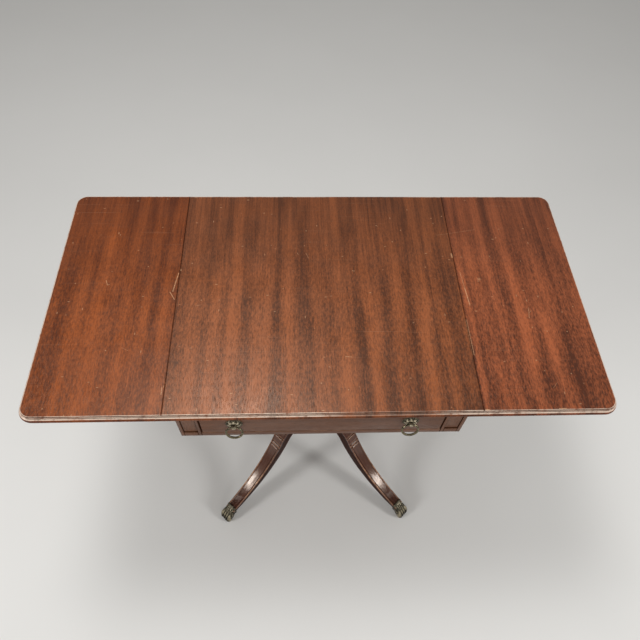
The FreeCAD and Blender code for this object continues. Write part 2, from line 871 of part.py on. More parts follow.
def make_bearer():
    """Bearer that carries the frame on the column, with canted ends."""
    body = new_body("pedestal_bearer_blank", (0, 0, column_top))
    side_view = sketch_on(body, "YZ_Plane")
    front = s.bearer_front_overlap - apron_half_depth
    back = apron_half_depth - s.back_rail_thickness + s.bearer_back_overlap
    half_way = s.bearer_thickness / 2
    draw(side_view, (
        (front + s.bearer_cant, 0),
        (back - s.bearer_cant, 0),
        (back, half_way),
        (back, s.bearer_thickness),
        (front, s.bearer_thickness),
        (front, half_way),
    ))
    feature(body, "Pad", side_view, s.bearer_half_width * 2, symmetric=True)
    return body


def make_column():
    """Turned column with a hub that is slotted for the tongues of the four legs."""
    body = new_body("column_blank", (0, 0, s.hub_bottom), s.leg_angle)
    section = sketch_on(body, "XZ_Plane")
    span = column_top - s.hub_bottom - s.hub_height
    outline = [(0, 0), (s.column_radius, 0), (s.column_radius, s.hub_height)]
    for share in COLUMN_SHARES:
        corner = (s.column_radius * share[0], s.hub_height + span * share[1])
        if len(share) == 4:
            corner = arc_to(outline[-1], corner, share[2], share[3])
        outline.append(corner)
    shoulder = s.hub_height + span
    tenon_top = shoulder + s.bearer_thickness
    outline += [(s.tenon_radius, shoulder), (s.tenon_radius, tenon_top), (0, tenon_top)]
    draw(section, outline)
    turned(body, section)
    slot = sketch_on(body, "XY_Plane")
    half = s.tongue_width / 2
    start = s.column_radius - s.tongue_length
    end = s.column_radius + s.cut_overrun
    draw(slot, ((start, -half), (end, -half), (end, half), (start, half)))
    pocket = feature(body, "Pocket", slot, s.tongue_height, reverse=True)
    slots = body.newObject("PartDesign::PolarPattern", "column_slots")
    slots.Originals = [pocket]
    slots.Axis = (slot, ["N_Axis"])
    slots.Angle = 360.0
    slots.Occurrences = LEGS
    body.Tip = slots
    return body


def sweep_radius(start, end, angle):
    """Radius of the hollow arc that leaves start down a slope of this angle and reaches end."""
    run = (end[0] - start[0], end[1] - start[1])
    chord_squared = run[0] * run[0] + run[1] * run[1]
    return chord_squared / ((run[0] * angle.sine() + run[1] * angle.cosine()) * 2)


def knee_end(centre_x, centre_z, radius, angle):
    """Point on a round where its slope reaches the angle."""
    return centre_x + radius * angle.sine(), centre_z + radius * angle.cosine()


def leg_curves():
    """Places and radii of a leg's upper and lower curves, as distance from the column's axis and height."""
    root_top = s.hub_bottom + s.leg_root_height
    top_end = knee_end(s.column_radius, root_top - s.knee_top_radius, s.knee_top_radius, s.knee_top_angle)
    flat_end = s.column_radius + s.knee_flat
    bottom_centre = s.hub_bottom - s.knee_bottom_radius
    bottom_end = knee_end(flat_end, bottom_centre, s.knee_bottom_radius, s.knee_bottom_angle)
    toe_top = (s.toe_reach, s.toe_height)
    toe_bottom = (s.toe_reach, s.toe_height - s.toe_depth)
    return {
        "root_top": root_top,
        "top_end": top_end,
        "flat_end": flat_end,
        "bottom_end": bottom_end,
        "toe_top": toe_top,
        "toe_bottom": toe_bottom,
        "top_radius": sweep_radius(top_end, toe_top, s.knee_top_angle),
        "bottom_radius": sweep_radius(bottom_end, toe_bottom, s.knee_bottom_angle),
    }


def make_leg_blank(name, turn):
    """Sabre leg: swept side outline, tapered in plan, coped to the hub, with a tongue."""
    body = new_body(f"{name}_blank", (0, 0, 0), turn)
    curve = leg_curves()
    start = s.column_radius - s.tongue_length / 3
    outline = sketch_on(body, "XZ_Plane")
    draw(outline, (
        (start, curve["root_top"]),
        (s.column_radius, curve["root_top"]),
        curve["top_end"] + (s.knee_top_radius, 1),
        curve["toe_top"] + (curve["top_radius"], -1),
        curve["toe_bottom"],
        curve["bottom_end"] + (curve["bottom_radius"], 1),
        (curve["flat_end"], s.hub_bottom, s.knee_bottom_radius, -1),
        (start, s.hub_bottom),
    ))
    feature(body, "Pad", outline, s.leg_width, symmetric=True)
    cope = sketch_on(body, "XY_Plane", s.hub_bottom - s.cut_overrun)
    draw_circle(cope, 0, 0, s.column_radius + s.cope_gap)
    feature(body, "Pocket", cope, s.leg_root_height + s.cut_overrun * 2, reverse=True)
    tongue = sketch_on(body, "XY_Plane", s.hub_bottom)
    half = s.tongue_width / 2
    draw(tongue, (
        (s.column_radius - s.tongue_length, -half),
        (s.column_radius + s.cut_overrun, -half),
        (s.column_radius + s.cut_overrun, half),
        (s.column_radius - s.tongue_length, half),
    ))
    feature(body, "Pad", tongue, s.tongue_height)
    taper = sketch_on(body, "XY_Plane")
    for side in (1, -1):
        draw(taper, (
            (curve["top_end"][0], s.leg_width / 2 * side),
            (s.toe_reach, s.toe_width / 2 * side),
            (s.toe_reach + s.cut_overrun, s.toe_width / 2 * side),
            (s.toe_reach + s.cut_overrun, (s.leg_width / 2 + s.cut_overrun) * side),
            (curve["top_end"][0], (s.leg_width / 2 + s.cut_overrun) * side),
        ))
    feature(body, "Pocket", taper, curve["root_top"], reverse=True)
    return body


def make_reed_cut(turn, offset):
    """Round-bottomed groove that follows the hollow of a leg's top, inside one edge."""
    curve = leg_curves()
    radius = curve["top_radius"]
    groove = doc.addObject("Part::Torus", "reed_cut")
    groove.setExpression("Radius1", radius.text)
    groove.setExpression("Radius2", s.reed_radius.text)
    centre_out = curve["top_end"][0] + radius * s.knee_top_angle.sine()
    centre_up = curve["top_end"][1] + radius * s.knee_top_angle.cosine()
    x = centre_out * turn.cosine() - offset * turn.sine()
    y = centre_out * turn.sine() + offset * turn.cosine()
    place(groove, (x, y, centre_up), turn)
    upright = FreeCAD.Rotation(Z_AXIS, turn.value).multiply(FreeCAD.Rotation(X_AXIS, 90))
    groove.Placement = FreeCAD.Placement(groove.Placement.Base, upright)
    groove.setExpression(".Placement.Rotation.Angle", None)
    return groove


def make_cross_cut(turn, share):
    """Round cut across a leg's knee, at a share of the knee's angle."""
    curve = leg_curves()
    angle = s.knee_top_angle * share
    out = s.column_radius + s.knee_top_radius * angle.sine()
    up = curve["root_top"] - s.knee_top_radius + s.knee_top_radius * angle.cosine()
    cut = doc.addObject("Part::Cylinder", "cross_cut")
    cut.setExpression("Radius", s.cross_cut_radius.text)
    width = s.leg_width + s.cut_overrun
    cut.setExpression("Height", width.text)
    x = out * turn.cosine() - width / 2 * turn.sine()
    y = out * turn.sine() + width / 2 * turn.cosine()
    place(cut, (x, y, up))
    across = FreeCAD.Rotation(Z_AXIS, turn.value).multiply(FreeCAD.Rotation(X_AXIS, 90))
    cut.Placement = FreeCAD.Placement(cut.Placement.Base, across)
    return cut


def make_cap_blank(name, turn):
    """Cast toe cap: a paw with three toes, closed over the end of the leg."""
    body = new_body(f"{name}_blank", (0, 0, 0), turn)
    back = s.toe_reach - s.cap_overlap
    wall = s.cap_wall
    height = s.toe_height + wall
    outline = sketch_on(body, "XZ_Plane")
    knuckle = s.toe_reach + s.cap_length / 2
    ankle_top = (s.toe_reach + wall, height)
    knuckle_top = (knuckle, s.cap_foot_height + wall * 3)
    draw(outline, (
        (back, height + s.cap_overlap / 3),
        ankle_top,
        arc_to(ankle_top, knuckle_top, CAP_HOLLOW_SHARE, -1),
        arc_to(knuckle_top, (cap_reach, s.cap_foot_height / 2), CAP_TOE_SHARE, 1),
        (cap_reach - wall, 0),
        (s.toe_reach + wall, 0),
        (back, s.toe_height - s.toe_depth - wall / 2),
    ))
    half = s.toe_width / 2 + wall
    feature(body, "Pad", outline, half * 2, symmetric=True)
    flutes = sketch_on(body, "XY_Plane")
    for side in (1, -1):
        draw_circle(flutes, cap_reach, s.toe_width / 4 * side, s.cap_flute_radius)
    feature(body, "Pocket", flutes, height, reverse=True)
    corners = sketch_on(body, "XY_Plane")
    beyond = cap_reach + s.cut_overrun
    for side in (1, -1):
        start = (knuckle, half * side)
        draw(corners, (
            start,
            arc_to(start, (beyond, s.toe_width / 3 * side), CAP_SIDE_SHARE, side),
            (beyond, (half + s.cut_overrun) * side),
            (knuckle, (half + s.cut_overrun) * side),
        ))
    feature(body, "Pocket", corners, height, reverse=True)
    return body


def make_brace_blank():
    """Cross-shaped steel plate under the joints of the legs and the hub."""
    body = new_body("leg_brace_plate_blank", (0, 0, s.hub_bottom - s.brace_thickness), s.leg_angle)
    plan = sketch_on(body, "XY_Plane")
    half = s.brace_arm_width / 2
    reach = s.brace_reach
    draw(plan, (
        (reach, -half), (reach, half), (half, half), (half, reach), (-half, reach), (-half, half),
        (-reach, half), (-reach, -half), (-half, -half), (-half, -reach), (half, -reach), (half, -half),
    ))
    feature(body, "Pad", plan, s.brace_thickness)
    return body


def check_state():
    """Stop if any object of the document has failed."""
    for thing in doc.Objects:
        for word in ("Invalid", "Error"):
            if word in thing.State:
                raise RuntimeError(f"{thing.Name} ({thing.Label}) is {word}")


def export(nodes):
    """Write each sub-part to its own STEP file, and print its volume in cubic centimetres."""
    os.makedirs("parts", exist_ok=True)
    for thing in nodes:
        shape = thing.Shape
        if shape.isNull() or not shape.isValid() or not shape.Solids:
            raise RuntimeError(f"{thing.Label} has no valid solid")
        shape.exportStep(f"parts/{thing.Label}.step")
        print(f"{thing.Label}: {len(shape.Solids)} solid(s), {shape.Volume / 1000:.2f} cm3")


doc = FreeCAD.newDocument("DropLeafTable")
s = make_sheet()

# Places that several pieces share
apron_half_width = s.centre_width / 2 - s.apron_side_inset
apron_half_depth = s.top_depth / 2 - s.apron_end_inset
hinge_offset = s.top_depth / 2 - s.hinge_end_inset
cap_reach = s.toe_reach + s.cap_length
underside = s.overall_height - s.board_thickness
pin_height = underside + s.pin_rise
rule_radius = s.board_thickness - s.rule_fillet - s.pin_rise
frame_bottom = underside - s.apron_height
column_top = frame_bottom - s.bearer_thickness
opening_half = apron_half_width - s.stile_width
back_of_front = s.stile_thickness - apron_half_depth
front_of_back = apron_half_depth - s.back_rail_thickness
drawer_length = front_of_back - back_of_front - s.drawer_back_gap
side_rail_outer = apron_half_width - s.fly_thickness
drawer_base = frame_bottom + s.front_bottom_rail_height + s.drawer_lift
drawer_inner_half = opening_half - s.drawer_front_gap - s.drawer_wall
rail_back = s.front_rail_depth - apron_half_depth
pull_height = (underside - s.front_top_rail_height + frame_bottom + s.front_bottom_rail_height) / 2

nodes = []
sides = (("left", -1), ("right", 1))
rows = (("front", -1), ("rear", 1))

# Screws of the hinges
screw_sizes = (s.hinge_screw_radius, s.hinge_screw_head_radius, s.hinge_screw_length)
fixed_places = []
moving_places = {"left": [], "right": []}
for side_name, side in sides:
    for row_name, row in rows:
        fixed_places += hinge_screw_places(side, row, False)
        moving_places[side_name] += hinge_screw_places(side, row, True)
hinge_screws_top = screws("hinge_screws_top", *screw_sizes, fixed_places)
leaf_screws = {
    side_name: screws(f"hinge_screws_leaf_{side_name}", *screw_sizes, moving_places[side_name])
    for side_name, side in sides
}

# Screws that hold the top, through the kickers and the front top rail
kicker_foot = underside - s.kicker_height
top_screw_sizes = (s.top_screw_radius, s.top_screw_head_radius)
kicker_screws = screws("kicker_screws", *top_screw_sizes, s.kicker_height + s.top_screw_bite, [
    ((opening_half - s.runner_width / 2) * side, s.kicker_screw_offset * row, kicker_foot)
    for side_name, side in sides for row_name, row in rows
])
rail_screws = screws("rail_screws", *top_screw_sizes, s.front_top_rail_height + s.top_screw_bite, [
    (s.stop_offset * side, rail_back - s.front_rail_depth / 4, underside - s.front_top_rail_height)
    for side_name, side in sides
])
top_screws = group("top_screws", kicker_screws, rail_screws)

# Boards of the top and their hinges
nodes.append(cut_by("centre_board", make_centre_board(), hinge_screws_top, top_screws))
for side_name, side in sides:
    leaf = make_leaf(f"leaf_board_{side_name}_blank", 0 if side > 0 else 180, side)
    nodes.append(cut_by(f"leaf_board_{side_name}", leaf, leaf_screws[side_name]))
pins = []
for side_name, side in sides:
    for row_name, row in rows:
        plates = ((False, "fixed", hinge_screws_top), (True, "moving", leaf_screws[side_name]))
        for moving, word, tool in plates:
            name = f"hinge_{word}_{side_name}_{row_name}"
            nodes.append(cut_by(name, make_hinge_plate(name, moving, side, row), tool))
        pins.append(make_hinge_pin(side, row))
nodes += [group("hinge_pins", *pins), hinge_screws_top, leaf_screws["left"], leaf_screws["right"]]

# Bearer screws, up into the front bottom rail and the back rail
bearer_screws = screws(
    "bearer_screws", s.bearer_screw_radius, s.bearer_screw_head_radius,
    s.bearer_thickness + s.bearer_screw_bite,
    [
        (s.bearer_half_width / 2 * side, y, column_top)
        for side_name, side in sides
        for y in (
            rail_back - (s.front_rail_depth - s.bearer_front_overlap) / 2,
            front_of_back + (s.bearer_back_overlap - s.bearer_cant) / 2,
        )
    ],
)

# Frame
for side_name, side in sides:
    nodes.append(make_stile(f"front_stile_{side_name}", side))
front_top_rail = board(
    "front_top_rail_blank",
    (-opening_half, -apron_half_depth, underside - s.front_top_rail_height),
    (opening_half, rail_back, underside),
)
nodes.append(cut_by("front_top_rail", front_top_rail, rail_screws))
front_bottom_rail = board(
    "front_bottom_rail_blank",
    (-opening_half, -apron_half_depth, frame_bottom),
    (opening_half, rail_back, frame_bottom + s.front_bottom_rail_height),
)
nodes.append(cut_by("front_bottom_rail", front_bottom_rail, bearer_screws))
back_rail = board(
    "back_rail_blank",
    (-apron_half_width, front_of_back, frame_bottom),
    (apron_half_width, apron_half_depth, underside),
)
nodes.append(cut_by("back_rail", back_rail, bearer_screws))
filler_back = s.fly_pivot_offset - s.fly_length - s.fly_gap
for side_name, side in sides:
    nodes.append(side_board(
        f"side_rail_{side_name}", side, opening_half, side_rail_outer,
        back_of_front, front_of_back, frame_bottom, underside,
    ))
    filler_ends = (back_of_front, filler_back) if side > 0 else (-filler_back, front_of_back)
    nodes.append(side_board(
        f"side_filler_{side_name}", side, side_rail_outer, apron_half_width,
        *filler_ends, frame_bottom, underside,
    ))
    nodes.append(make_fly_piece(f"fly_rail_{side_name}", False, side))
    nodes.append(make_fly_piece(f"fly_bracket_{side_name}", True, side))
    nodes.append(side_board(
        f"drawer_runner_{side_name}", side, opening_half - s.runner_width, opening_half,
        rail_back, front_of_back, frame_bottom, frame_bottom + s.front_bottom_rail_height,
    ))
nodes.append(group("fly_pins", make_fly_pin(-1), make_fly_pin(1)))
kickers = [
    cut_by(f"drawer_kicker_{side_name}", side_board(
        f"drawer_kicker_{side_name}_blank", side, opening_half - s.runner_width, opening_half,
        rail_back, front_of_back, kicker_foot, underside,
    ), kicker_screws)
    for side_name, side in sides
]
nodes.append(group("drawer_kickers", *kickers))
nodes.append(group("drawer_stops", make_stop(-1), make_stop(1)))
nodes.append(group("glue_blocks", make_glue_block(-1), make_glue_block(1)))
nodes.append(top_screws)

# Drawer and its pulls
posts = [make_post(f"pull_post_{side_name}", side) for side_name, side in sides]
drawer_sides = [make_drawer_side(f"drawer_side_{side_name}", side) for side_name, side in sides]
nodes.append(cut_by("drawer_front", make_drawer_front(), *posts, *drawer_sides))
nodes += drawer_sides
bottom_low = drawer_base + s.drawer_bottom_rise
bottom_high = bottom_low + s.drawer_bottom_thickness
drawer_end = back_of_front + drawer_length
nodes.append(board(
    "drawer_back",
    (-drawer_inner_half, drawer_end - s.drawer_wall, bottom_high),
    (drawer_inner_half, drawer_end, bottom_high + s.drawer_back_height),
))
bottom_half = drawer_inner_half + s.drawer_groove
drawer_bottom = board(
    "drawer_bottom_blank",
    (-bottom_half, back_of_front - s.drawer_groove, bottom_low),
    (bottom_half, drawer_end, bottom_high),
)
nodes.append(cut_by("drawer_bottom", drawer_bottom, *drawer_sides))
for side_name, side in sides:
    nodes.append(make_rosette(f"pull_rosette_{side_name}", side))
    nodes.append(make_ring(f"pull_ring_{side_name}", side))
nodes += posts
nodes.append(group("pull_nuts", make_nut(-1), make_nut(1)))

# Pedestal
column_blank = make_column()
nodes.append(cut_by("pedestal_bearer", make_bearer(), column_blank, bearer_screws))
nodes.append(bearer_screws)
brace_reach_places = [
    (s.brace_screw_place * turn.cosine(), s.brace_screw_place * turn.sine())
    for turn in (s.leg_angle + quarter for quarter in QUARTERS)
]
brace_screws = screws(
    "brace_screws", s.brace_screw_radius, s.brace_screw_head_radius, s.brace_screw_length,
    [(x, y, s.hub_bottom - s.brace_thickness) for x, y in brace_reach_places + [(0, 0)]],
)
nodes.append(cut_by("leg_brace_plate", make_brace_blank(), brace_screws))
nodes.append(brace_screws)
nodes.append(cut_by("column", column_blank, brace_screws))
for leg_name, quarter in zip(("rear_right", "rear_left", "front_left", "front_right"), QUARTERS):
    turn = s.leg_angle + quarter
    blank = make_leg_blank(f"leg_{leg_name}", turn)
    reed = s.toe_width / 2 - s.reed_edge
    cuts = [make_reed_cut(turn, reed), make_reed_cut(turn, -reed)]
    cuts += [make_cross_cut(turn, share) for share in CROSS_CUT_SHARES]
    nodes.append(cut_by(f"leg_{leg_name}", blank, group("leg_cuts", *cuts), brace_screws))
    cap = make_cap_blank(f"toe_cap_{leg_name}", turn)
    nodes.append(cut_by(f"toe_cap_{leg_name}", cap, blank))

doc.recompute()
check_state()
export(nodes)
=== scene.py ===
"""Drop-leaf table on a pedestal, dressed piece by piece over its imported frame."""

import json
import logging
import math
from dataclasses import dataclass, field
from enum import Enum
from typing import Any, Callable, Sequence

import bmesh
import bpy
from mathutils import Matrix, Vector, noise

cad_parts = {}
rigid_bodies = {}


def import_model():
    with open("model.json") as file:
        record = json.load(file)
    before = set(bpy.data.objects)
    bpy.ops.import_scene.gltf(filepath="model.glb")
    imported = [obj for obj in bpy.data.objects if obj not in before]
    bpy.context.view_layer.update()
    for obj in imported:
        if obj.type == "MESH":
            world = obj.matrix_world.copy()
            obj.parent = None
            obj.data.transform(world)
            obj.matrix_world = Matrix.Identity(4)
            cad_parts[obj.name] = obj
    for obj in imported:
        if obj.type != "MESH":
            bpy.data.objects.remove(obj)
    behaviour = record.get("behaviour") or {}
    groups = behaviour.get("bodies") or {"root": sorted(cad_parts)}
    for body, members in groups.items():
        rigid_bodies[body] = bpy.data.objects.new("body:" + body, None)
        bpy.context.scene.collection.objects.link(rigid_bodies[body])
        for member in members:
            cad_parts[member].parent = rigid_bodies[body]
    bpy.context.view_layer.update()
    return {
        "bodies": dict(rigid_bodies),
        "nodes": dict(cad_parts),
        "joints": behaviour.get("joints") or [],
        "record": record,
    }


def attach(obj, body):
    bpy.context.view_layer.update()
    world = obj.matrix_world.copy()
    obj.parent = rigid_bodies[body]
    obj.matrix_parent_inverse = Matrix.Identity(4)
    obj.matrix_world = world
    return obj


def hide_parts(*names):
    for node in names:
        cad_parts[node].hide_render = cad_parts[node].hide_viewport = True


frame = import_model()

LOG = logging.getLogger("drop_leaf_table")

Quad = tuple[float, float, float, float]
Colour = Quad
Point = tuple[float, float]
Place = tuple[float, float, float]
Socket = bpy.types.NodeSocket
BMesh, BMFace, BMVert = bmesh.types.BMesh, bmesh.types.BMFace, bmesh.types.BMVert
Handling = Callable[[BMFace, bool], Point]

SIDES = ("left", "right")
MM_PER_METRE = 1000
# Points closer than this in metres are made one, and faces that turn by less than this in degrees.
SPUN_WELD = 1e-6
PACKED_WELD = 2e-6
PACKED_FLAT = 0.6
# The values that shader noise mostly keeps between, and the depth in metres of fine relief.
NOISE_LOW, NOISE_HIGH = 0.3, 0.7
FINE_RELIEF = 0.0002
QUARTER_TURN = Matrix.Rotation(math.radians(90), 4, "X")


def display(red: int, green: int, blue: int) -> Colour:
    """Linear colour of a display colour.

    Args:
        red: Red from 0 to 255.
        green: Green from 0 to 255.
        blue: Blue from 0 to 255.

    Returns:
        The colour with full cover.
    """
    linear = []
    for level in (red / 255, green / 255, blue / 255):
        linear.append(level / 12.92 if level <= 0.04045 else ((level + 0.055) / 1.055) ** 2.4)
    return (*linear, 1.0)


def dimmed(colour: Colour, share: float) -> Colour:
    """Darken a colour and keep its full cover."""
    return (*(level * share for level in colour[:3]), 1.0)


def in_metres(*places: float) -> tuple[float, ...]:
    """Millimetres as metres."""
    return tuple(place / MM_PER_METRE for place in places)


def rise(value: float, start: float, length: float) -> float:
    """Climb from 0 at the start to 1 over a length, held at both ends."""
    return min(max((value - start) / length, 0.0), 1.0)


def peak(value: float, middle: float, reach: float) -> float:
    """Fall from 1 at the middle to 0 at the reach on either side."""
    return max(0.0, 1 - abs(value - middle) / reach)


class Grain(Enum):
    """The way that the grain of a board runs, or along a bent piece."""

    ALONG_X = 0
    ALONG_Y = 1
    ALONG_Z = 2
    FLOW = 3

    def scale(self, across: float, along: float) -> tuple[float, ...]:
        """Pattern scale for the three axes, from the repeats per metre across the grain and along it."""
        axis = 1 if self is Grain.FLOW else self.value
        return tuple(along if index == axis else across for index in range(3))


class Graph:
    """Shader nodes of one material or group, wired by short calls."""

    def __init__(self, tree: bpy.types.NodeTree) -> None:
        """Start from an empty tree."""
        self.tree = tree
        tree.nodes.clear()

    def node(self, kind: str, inputs: dict[Any, Any] | None = None, **settings: Any) -> bpy.types.Node:
        """Add a node.

        Args:
            kind: Its type.
            inputs: Values or sockets by input name or number.
            settings: Properties set before the inputs are fed.

        Returns:
            The node.
        """
        made = self.tree.nodes.new(kind)
        for name, value in settings.items():
            setattr(made, name, value)
        for key, value in (inputs or {}).items():
            if isinstance(value, Socket):
                self.tree.links.new(value, made.inputs[key])
            else:
                made.inputs[key].default_value = value
        return made

    def math(self, operation: str, first: Any, second: Any, clamp: bool = False) -> Socket:
        """Work out one value from two, and hold it from 0 to 1 where that is asked."""
        return self.node("ShaderNodeMath", {0: first, 1: second}, operation=operation,
                         use_clamp=clamp).outputs[0]

    def plus(self, first: Any, second: Any) -> Socket:
        """Add two values."""
        return self.math("ADD", first, second)

    def times(self, first: Any, second: Any) -> Socket:
        """Multiply two values."""
        return self.math("MULTIPLY", first, second)

    def vector(self, operation: str, inputs: dict[Any, Any], output: Any = 0) -> Socket:
        """Work out a vector, or the output that is named, from the inputs of vector mathematics."""
        return self.node("ShaderNodeVectorMath", inputs, operation=operation).outputs[output]

    def span(self, value: Any, low: Any, high: Any, to_low: Any = 0.0, to_high: Any = 1.0) -> Socket:
        """Stretch the values from low to high to another range, held at its ends."""
        return self.node("ShaderNodeMapRange",
                         {0: value, 1: low, 2: high, 3: to_low, 4: to_high}).outputs[0]

    def spread(self, cloud: Any, to_low: float, to_high: float) -> Socket:
        """Stretch the usual range of noise to another."""
        return self.span(cloud, NOISE_LOW, NOISE_HIGH, to_low, to_high)

    def blend(self, share: Any, first: Any, second: Any) -> Socket:
        """Blend two colours, by the share of the second."""
        return self.node("ShaderNodeMix", {0: share, 6: first, 7: second},
                         data_type="RGBA", clamp_factor=True).outputs[2]

    def ramp(self, value: Any, stops: Sequence[tuple[float, Colour]], ease: bool = False) -> Socket:
        """Turn a value into a colour.

        Args:
            value: The value, from 0 to 1.
            stops: Places and colours, at most 32.
            ease: Whether each stop has a soft shoulder.

        Returns:
            The colour.
        """
        made = self.node("ShaderNodeValToRGB", {0: value})
        made.color_ramp.interpolation = "EASE" if ease else "LINEAR"
        elements = made.color_ramp.elements
        for place, colour in stops[2:]:
            elements.new(place).color = colour
        in_order = sorted(elements, key=lambda item: item.position)
        for element, (place, colour) in zip(in_order, sorted(stops)):
            element.position = place
            element.color = colour
        return made.outputs[0]

    def scaled(self, where: Any, scale: Sequence[float], turn: float, shift: Sequence[float]) -> Socket:
        """Coordinates in repeats per metre, turned by degrees about the upright and shifted in repeats."""
        inputs = {"Vector": where, "Location": shift, "Rotation": (0, 0, math.radians(turn)), "Scale": scale}
        return self.node("ShaderNodeMapping", inputs, vector_type="POINT").outputs[0]

    def cloud(self, where: Any, scale: Sequence[float], detail: float = 2.0, rough: float = 0.5,
              twist: float = 0.0, turn: float = 0.0, shift: Sequence[float] = (0, 0, 0)) -> Socket:
        """Soft noise from 0 to 1, by its finer layers, their strength and its distortion."""
        inputs = {"Vector": self.scaled(where, scale, turn, shift), "Scale": 1.0, "Detail": detail,
                  "Roughness": rough, "Distortion": twist}
        return self.node("ShaderNodeTexNoise", inputs).outputs[0]

    def object_place(self) -> Socket:
        """Place on the piece's own mesh."""
        return self.node("ShaderNodeTexCoord").outputs["Object"]

    def attribute(self, name: str, output: str = "Fac") -> Socket:
        """Read an attribute of the piece's own mesh."""
        made = self.node("ShaderNodeAttribute", attribute_name=name, attribute_type="GEOMETRY")
        return made.outputs[output]


@dataclass(frozen=True)
class Ribbon:
    """A stripe of the figure: place across in mm, tone from 0 to 1, lean in mm from back to front."""

    place: float
    tone: float
    lean: float = 0.0


@dataclass(frozen=True)
class Mark:
    """A scratch, chip or stain on the top: its two ends and width in mm, and how strong it is."""

    start: Point
    end: Point
    width: float
    strength: float
    dark: bool = False


@dataclass(frozen=True)
class Layer:
    """Noise of the wood: repeats per metre across and along the grain, finer layers, strength, reach."""

    across: float
    along: float
    detail: float
    rough: float
    reach: float = 0.0
    grain: Grain | None = None

    def read(self, graph: Graph, where: Socket, grain: Grain) -> Socket:
        """Noise over a board with that grain, unless the layer has a way of its own."""
        scale = (self.grain or grain).scale(self.across, self.along)
        return graph.cloud(where, scale, self.detail, self.rough)


STREAK = Layer(120, 3.5, 3.0, 0.6, 0.17)
HAIR = Layer(620, 14, 2.0, 0.6, 0.13)
MOTTLE = Layer(14, 9, 2.0, 0.5, 0.10, Grain.ALONG_Y)
GRIT = Layer(430, 430, 2.0, 0.65, 0.11)
PORE = Layer(1500, 75, 1.0, 0.5)
TONE_LAYERS = (STREAK, HAIR, MOTTLE, GRIT)


@dataclass(frozen=True)
class Finish:
    """A surface finish, made once as a node material."""

    name: str

    def paint(self, graph: Graph) -> dict[str, Any]:
        """Work out the inputs of the surface shader."""
        raise NotImplementedError

    def build(self) -> bpy.types.Material:
        """Make the material, or find it where it is made already.

        Returns:
            The material.
        """
        made = bpy.data.materials.get(self.name)
        if made is None:
            made = bpy.data.materials.new(self.name)
            made.use_nodes = True
            graph = Graph(made.node_tree)
            surface = graph.node("ShaderNodeBsdfPrincipled", self.paint(graph))
            graph.node("ShaderNodeOutputMaterial", {"Surface": surface.outputs[0]})
        return made


@dataclass(frozen=True)
class Mahogany(Finish):
    """Mahogany under old lacquer, with streaks, open pores, rubbed arrises, and the dirt, painted shade and
    painted highlights that its pieces carry.
    """

    dark: Colour
    light: Colour
    rubbed: Colour
    grain: Grain = Grain.ALONG_X
    gloss: float = 0.35
    shine: float = 0.5
    coat: float = 0.0
    wear: float = 0.6
    pores: float = 0.5
    open_pore: Point = (0.57, 0.68)
    middle_tone: float = 0.45
    darkening_share: float = 0.35
    gloss_swing: Point = (-0.06, 0.08)
    pore_rough: float = 0.12
    dirt_and_shade_rough: float = 0.35
    dirt_and_shade_shine: Quad = (0.0, 0.6, 1.0, 0.05)
    relief_strength: float = 0.35
    reflection: Colour = (1.0, 0.78, 0.62, 1.0)

    def coordinates(self, graph: Graph) -> Socket:
        """Where the pattern is read: the piece's place, or its own flow lines."""
        return graph.attribute("flow", "Vector") if self.grain is Grain.FLOW else graph.object_place()

    def tone(self, graph: Graph, where: Socket) -> Socket:
        """Broad figure of the board, from 0 to 1."""
        return graph.cloud(where, self.grain.scale(26, 1.6), twist=0.4)

    def marks(self, graph: Graph, where: Socket, colour: Any) -> Any:
        """Marks of use over the colour; a plain board has none."""
        return colour

    def rubbing_and_highlight(self, graph: Graph, where: Socket) -> Socket:
        """Cover of the rubbed colour in patches of the marked places, from 0 to 1: wear, and on some pieces a
        painted highlight.
        """
        patch = graph.cloud(where, (95, 95, 95), 3.0, 0.65)
        return graph.times(graph.attribute("wear_and_highlight"),
                           graph.span(patch, 0.55 - self.wear * 0.15, 0.72 - self.wear * 0.1))

    def paint(self, graph: Graph) -> dict[str, Any]:
        """Work out the surface.

        Args:
            graph: The material's nodes.

        Returns:
            Inputs of the surface shader.
        """
        where = self.coordinates(graph)
        noises = {layer: layer.read(graph, where, self.grain) for layer in (*TONE_LAYERS, PORE)}
        tone = self.tone(graph, where)
        for layer in TONE_LAYERS:
            tone = graph.plus(tone, graph.spread(noises[layer], -layer.reach, layer.reach))
        open_pore = graph.span(noises[PORE], *self.open_pore)
        share = self.middle_tone
        middle = tuple(a * (1 - share) + b * share for a, b in zip(self.dark, self.light))
        colour = graph.ramp(tone, ((0.0, self.dark), (1.0, self.light), (share, middle)))
        # The darkened colour fills the open pores. It also paints dirt and painted shade where a piece asks
        # for them.
        darkening = dimmed(self.dark, self.darkening_share)
        colour = graph.blend(graph.times(open_pore, self.pores), colour, darkening)
        colour = self.marks(graph, where, colour)
        colour = graph.blend(self.rubbing_and_highlight(graph, where), colour, self.rubbed)
        # Dirt and painted shade, read from the piece, darken the colour and take away its shine.
        dirt_and_shade = graph.attribute("dirt_and_shade")
        colour = graph.blend(dirt_and_shade, colour, darkening)
        bright = graph.span(dirt_and_shade, *self.dirt_and_shade_shine)
        dull = graph.spread(graph.cloud(where, (22, 16, 22), 3.0, 0.6),
                            *(self.gloss + swing for swing in self.gloss_swing))
        rough = graph.plus(dull, graph.plus(graph.times(open_pore, self.pore_rough),
                                            graph.times(dirt_and_shade, self.dirt_and_shade_rough)))
        bump = graph.node("ShaderNodeBump", {"Strength": self.relief_strength, "Distance": FINE_RELIEF,
                                             "Height": graph.math("SUBTRACT", noises[HAIR], open_pore)})
        return {"Base Color": colour, "Roughness": rough, "Normal": bump.outputs[0],
                "Specular IOR Level": graph.times(bright, self.shine), "Specular Tint": self.reflection,
                "Coat Weight": graph.times(bright, self.coat), "Coat Roughness": 0.12}


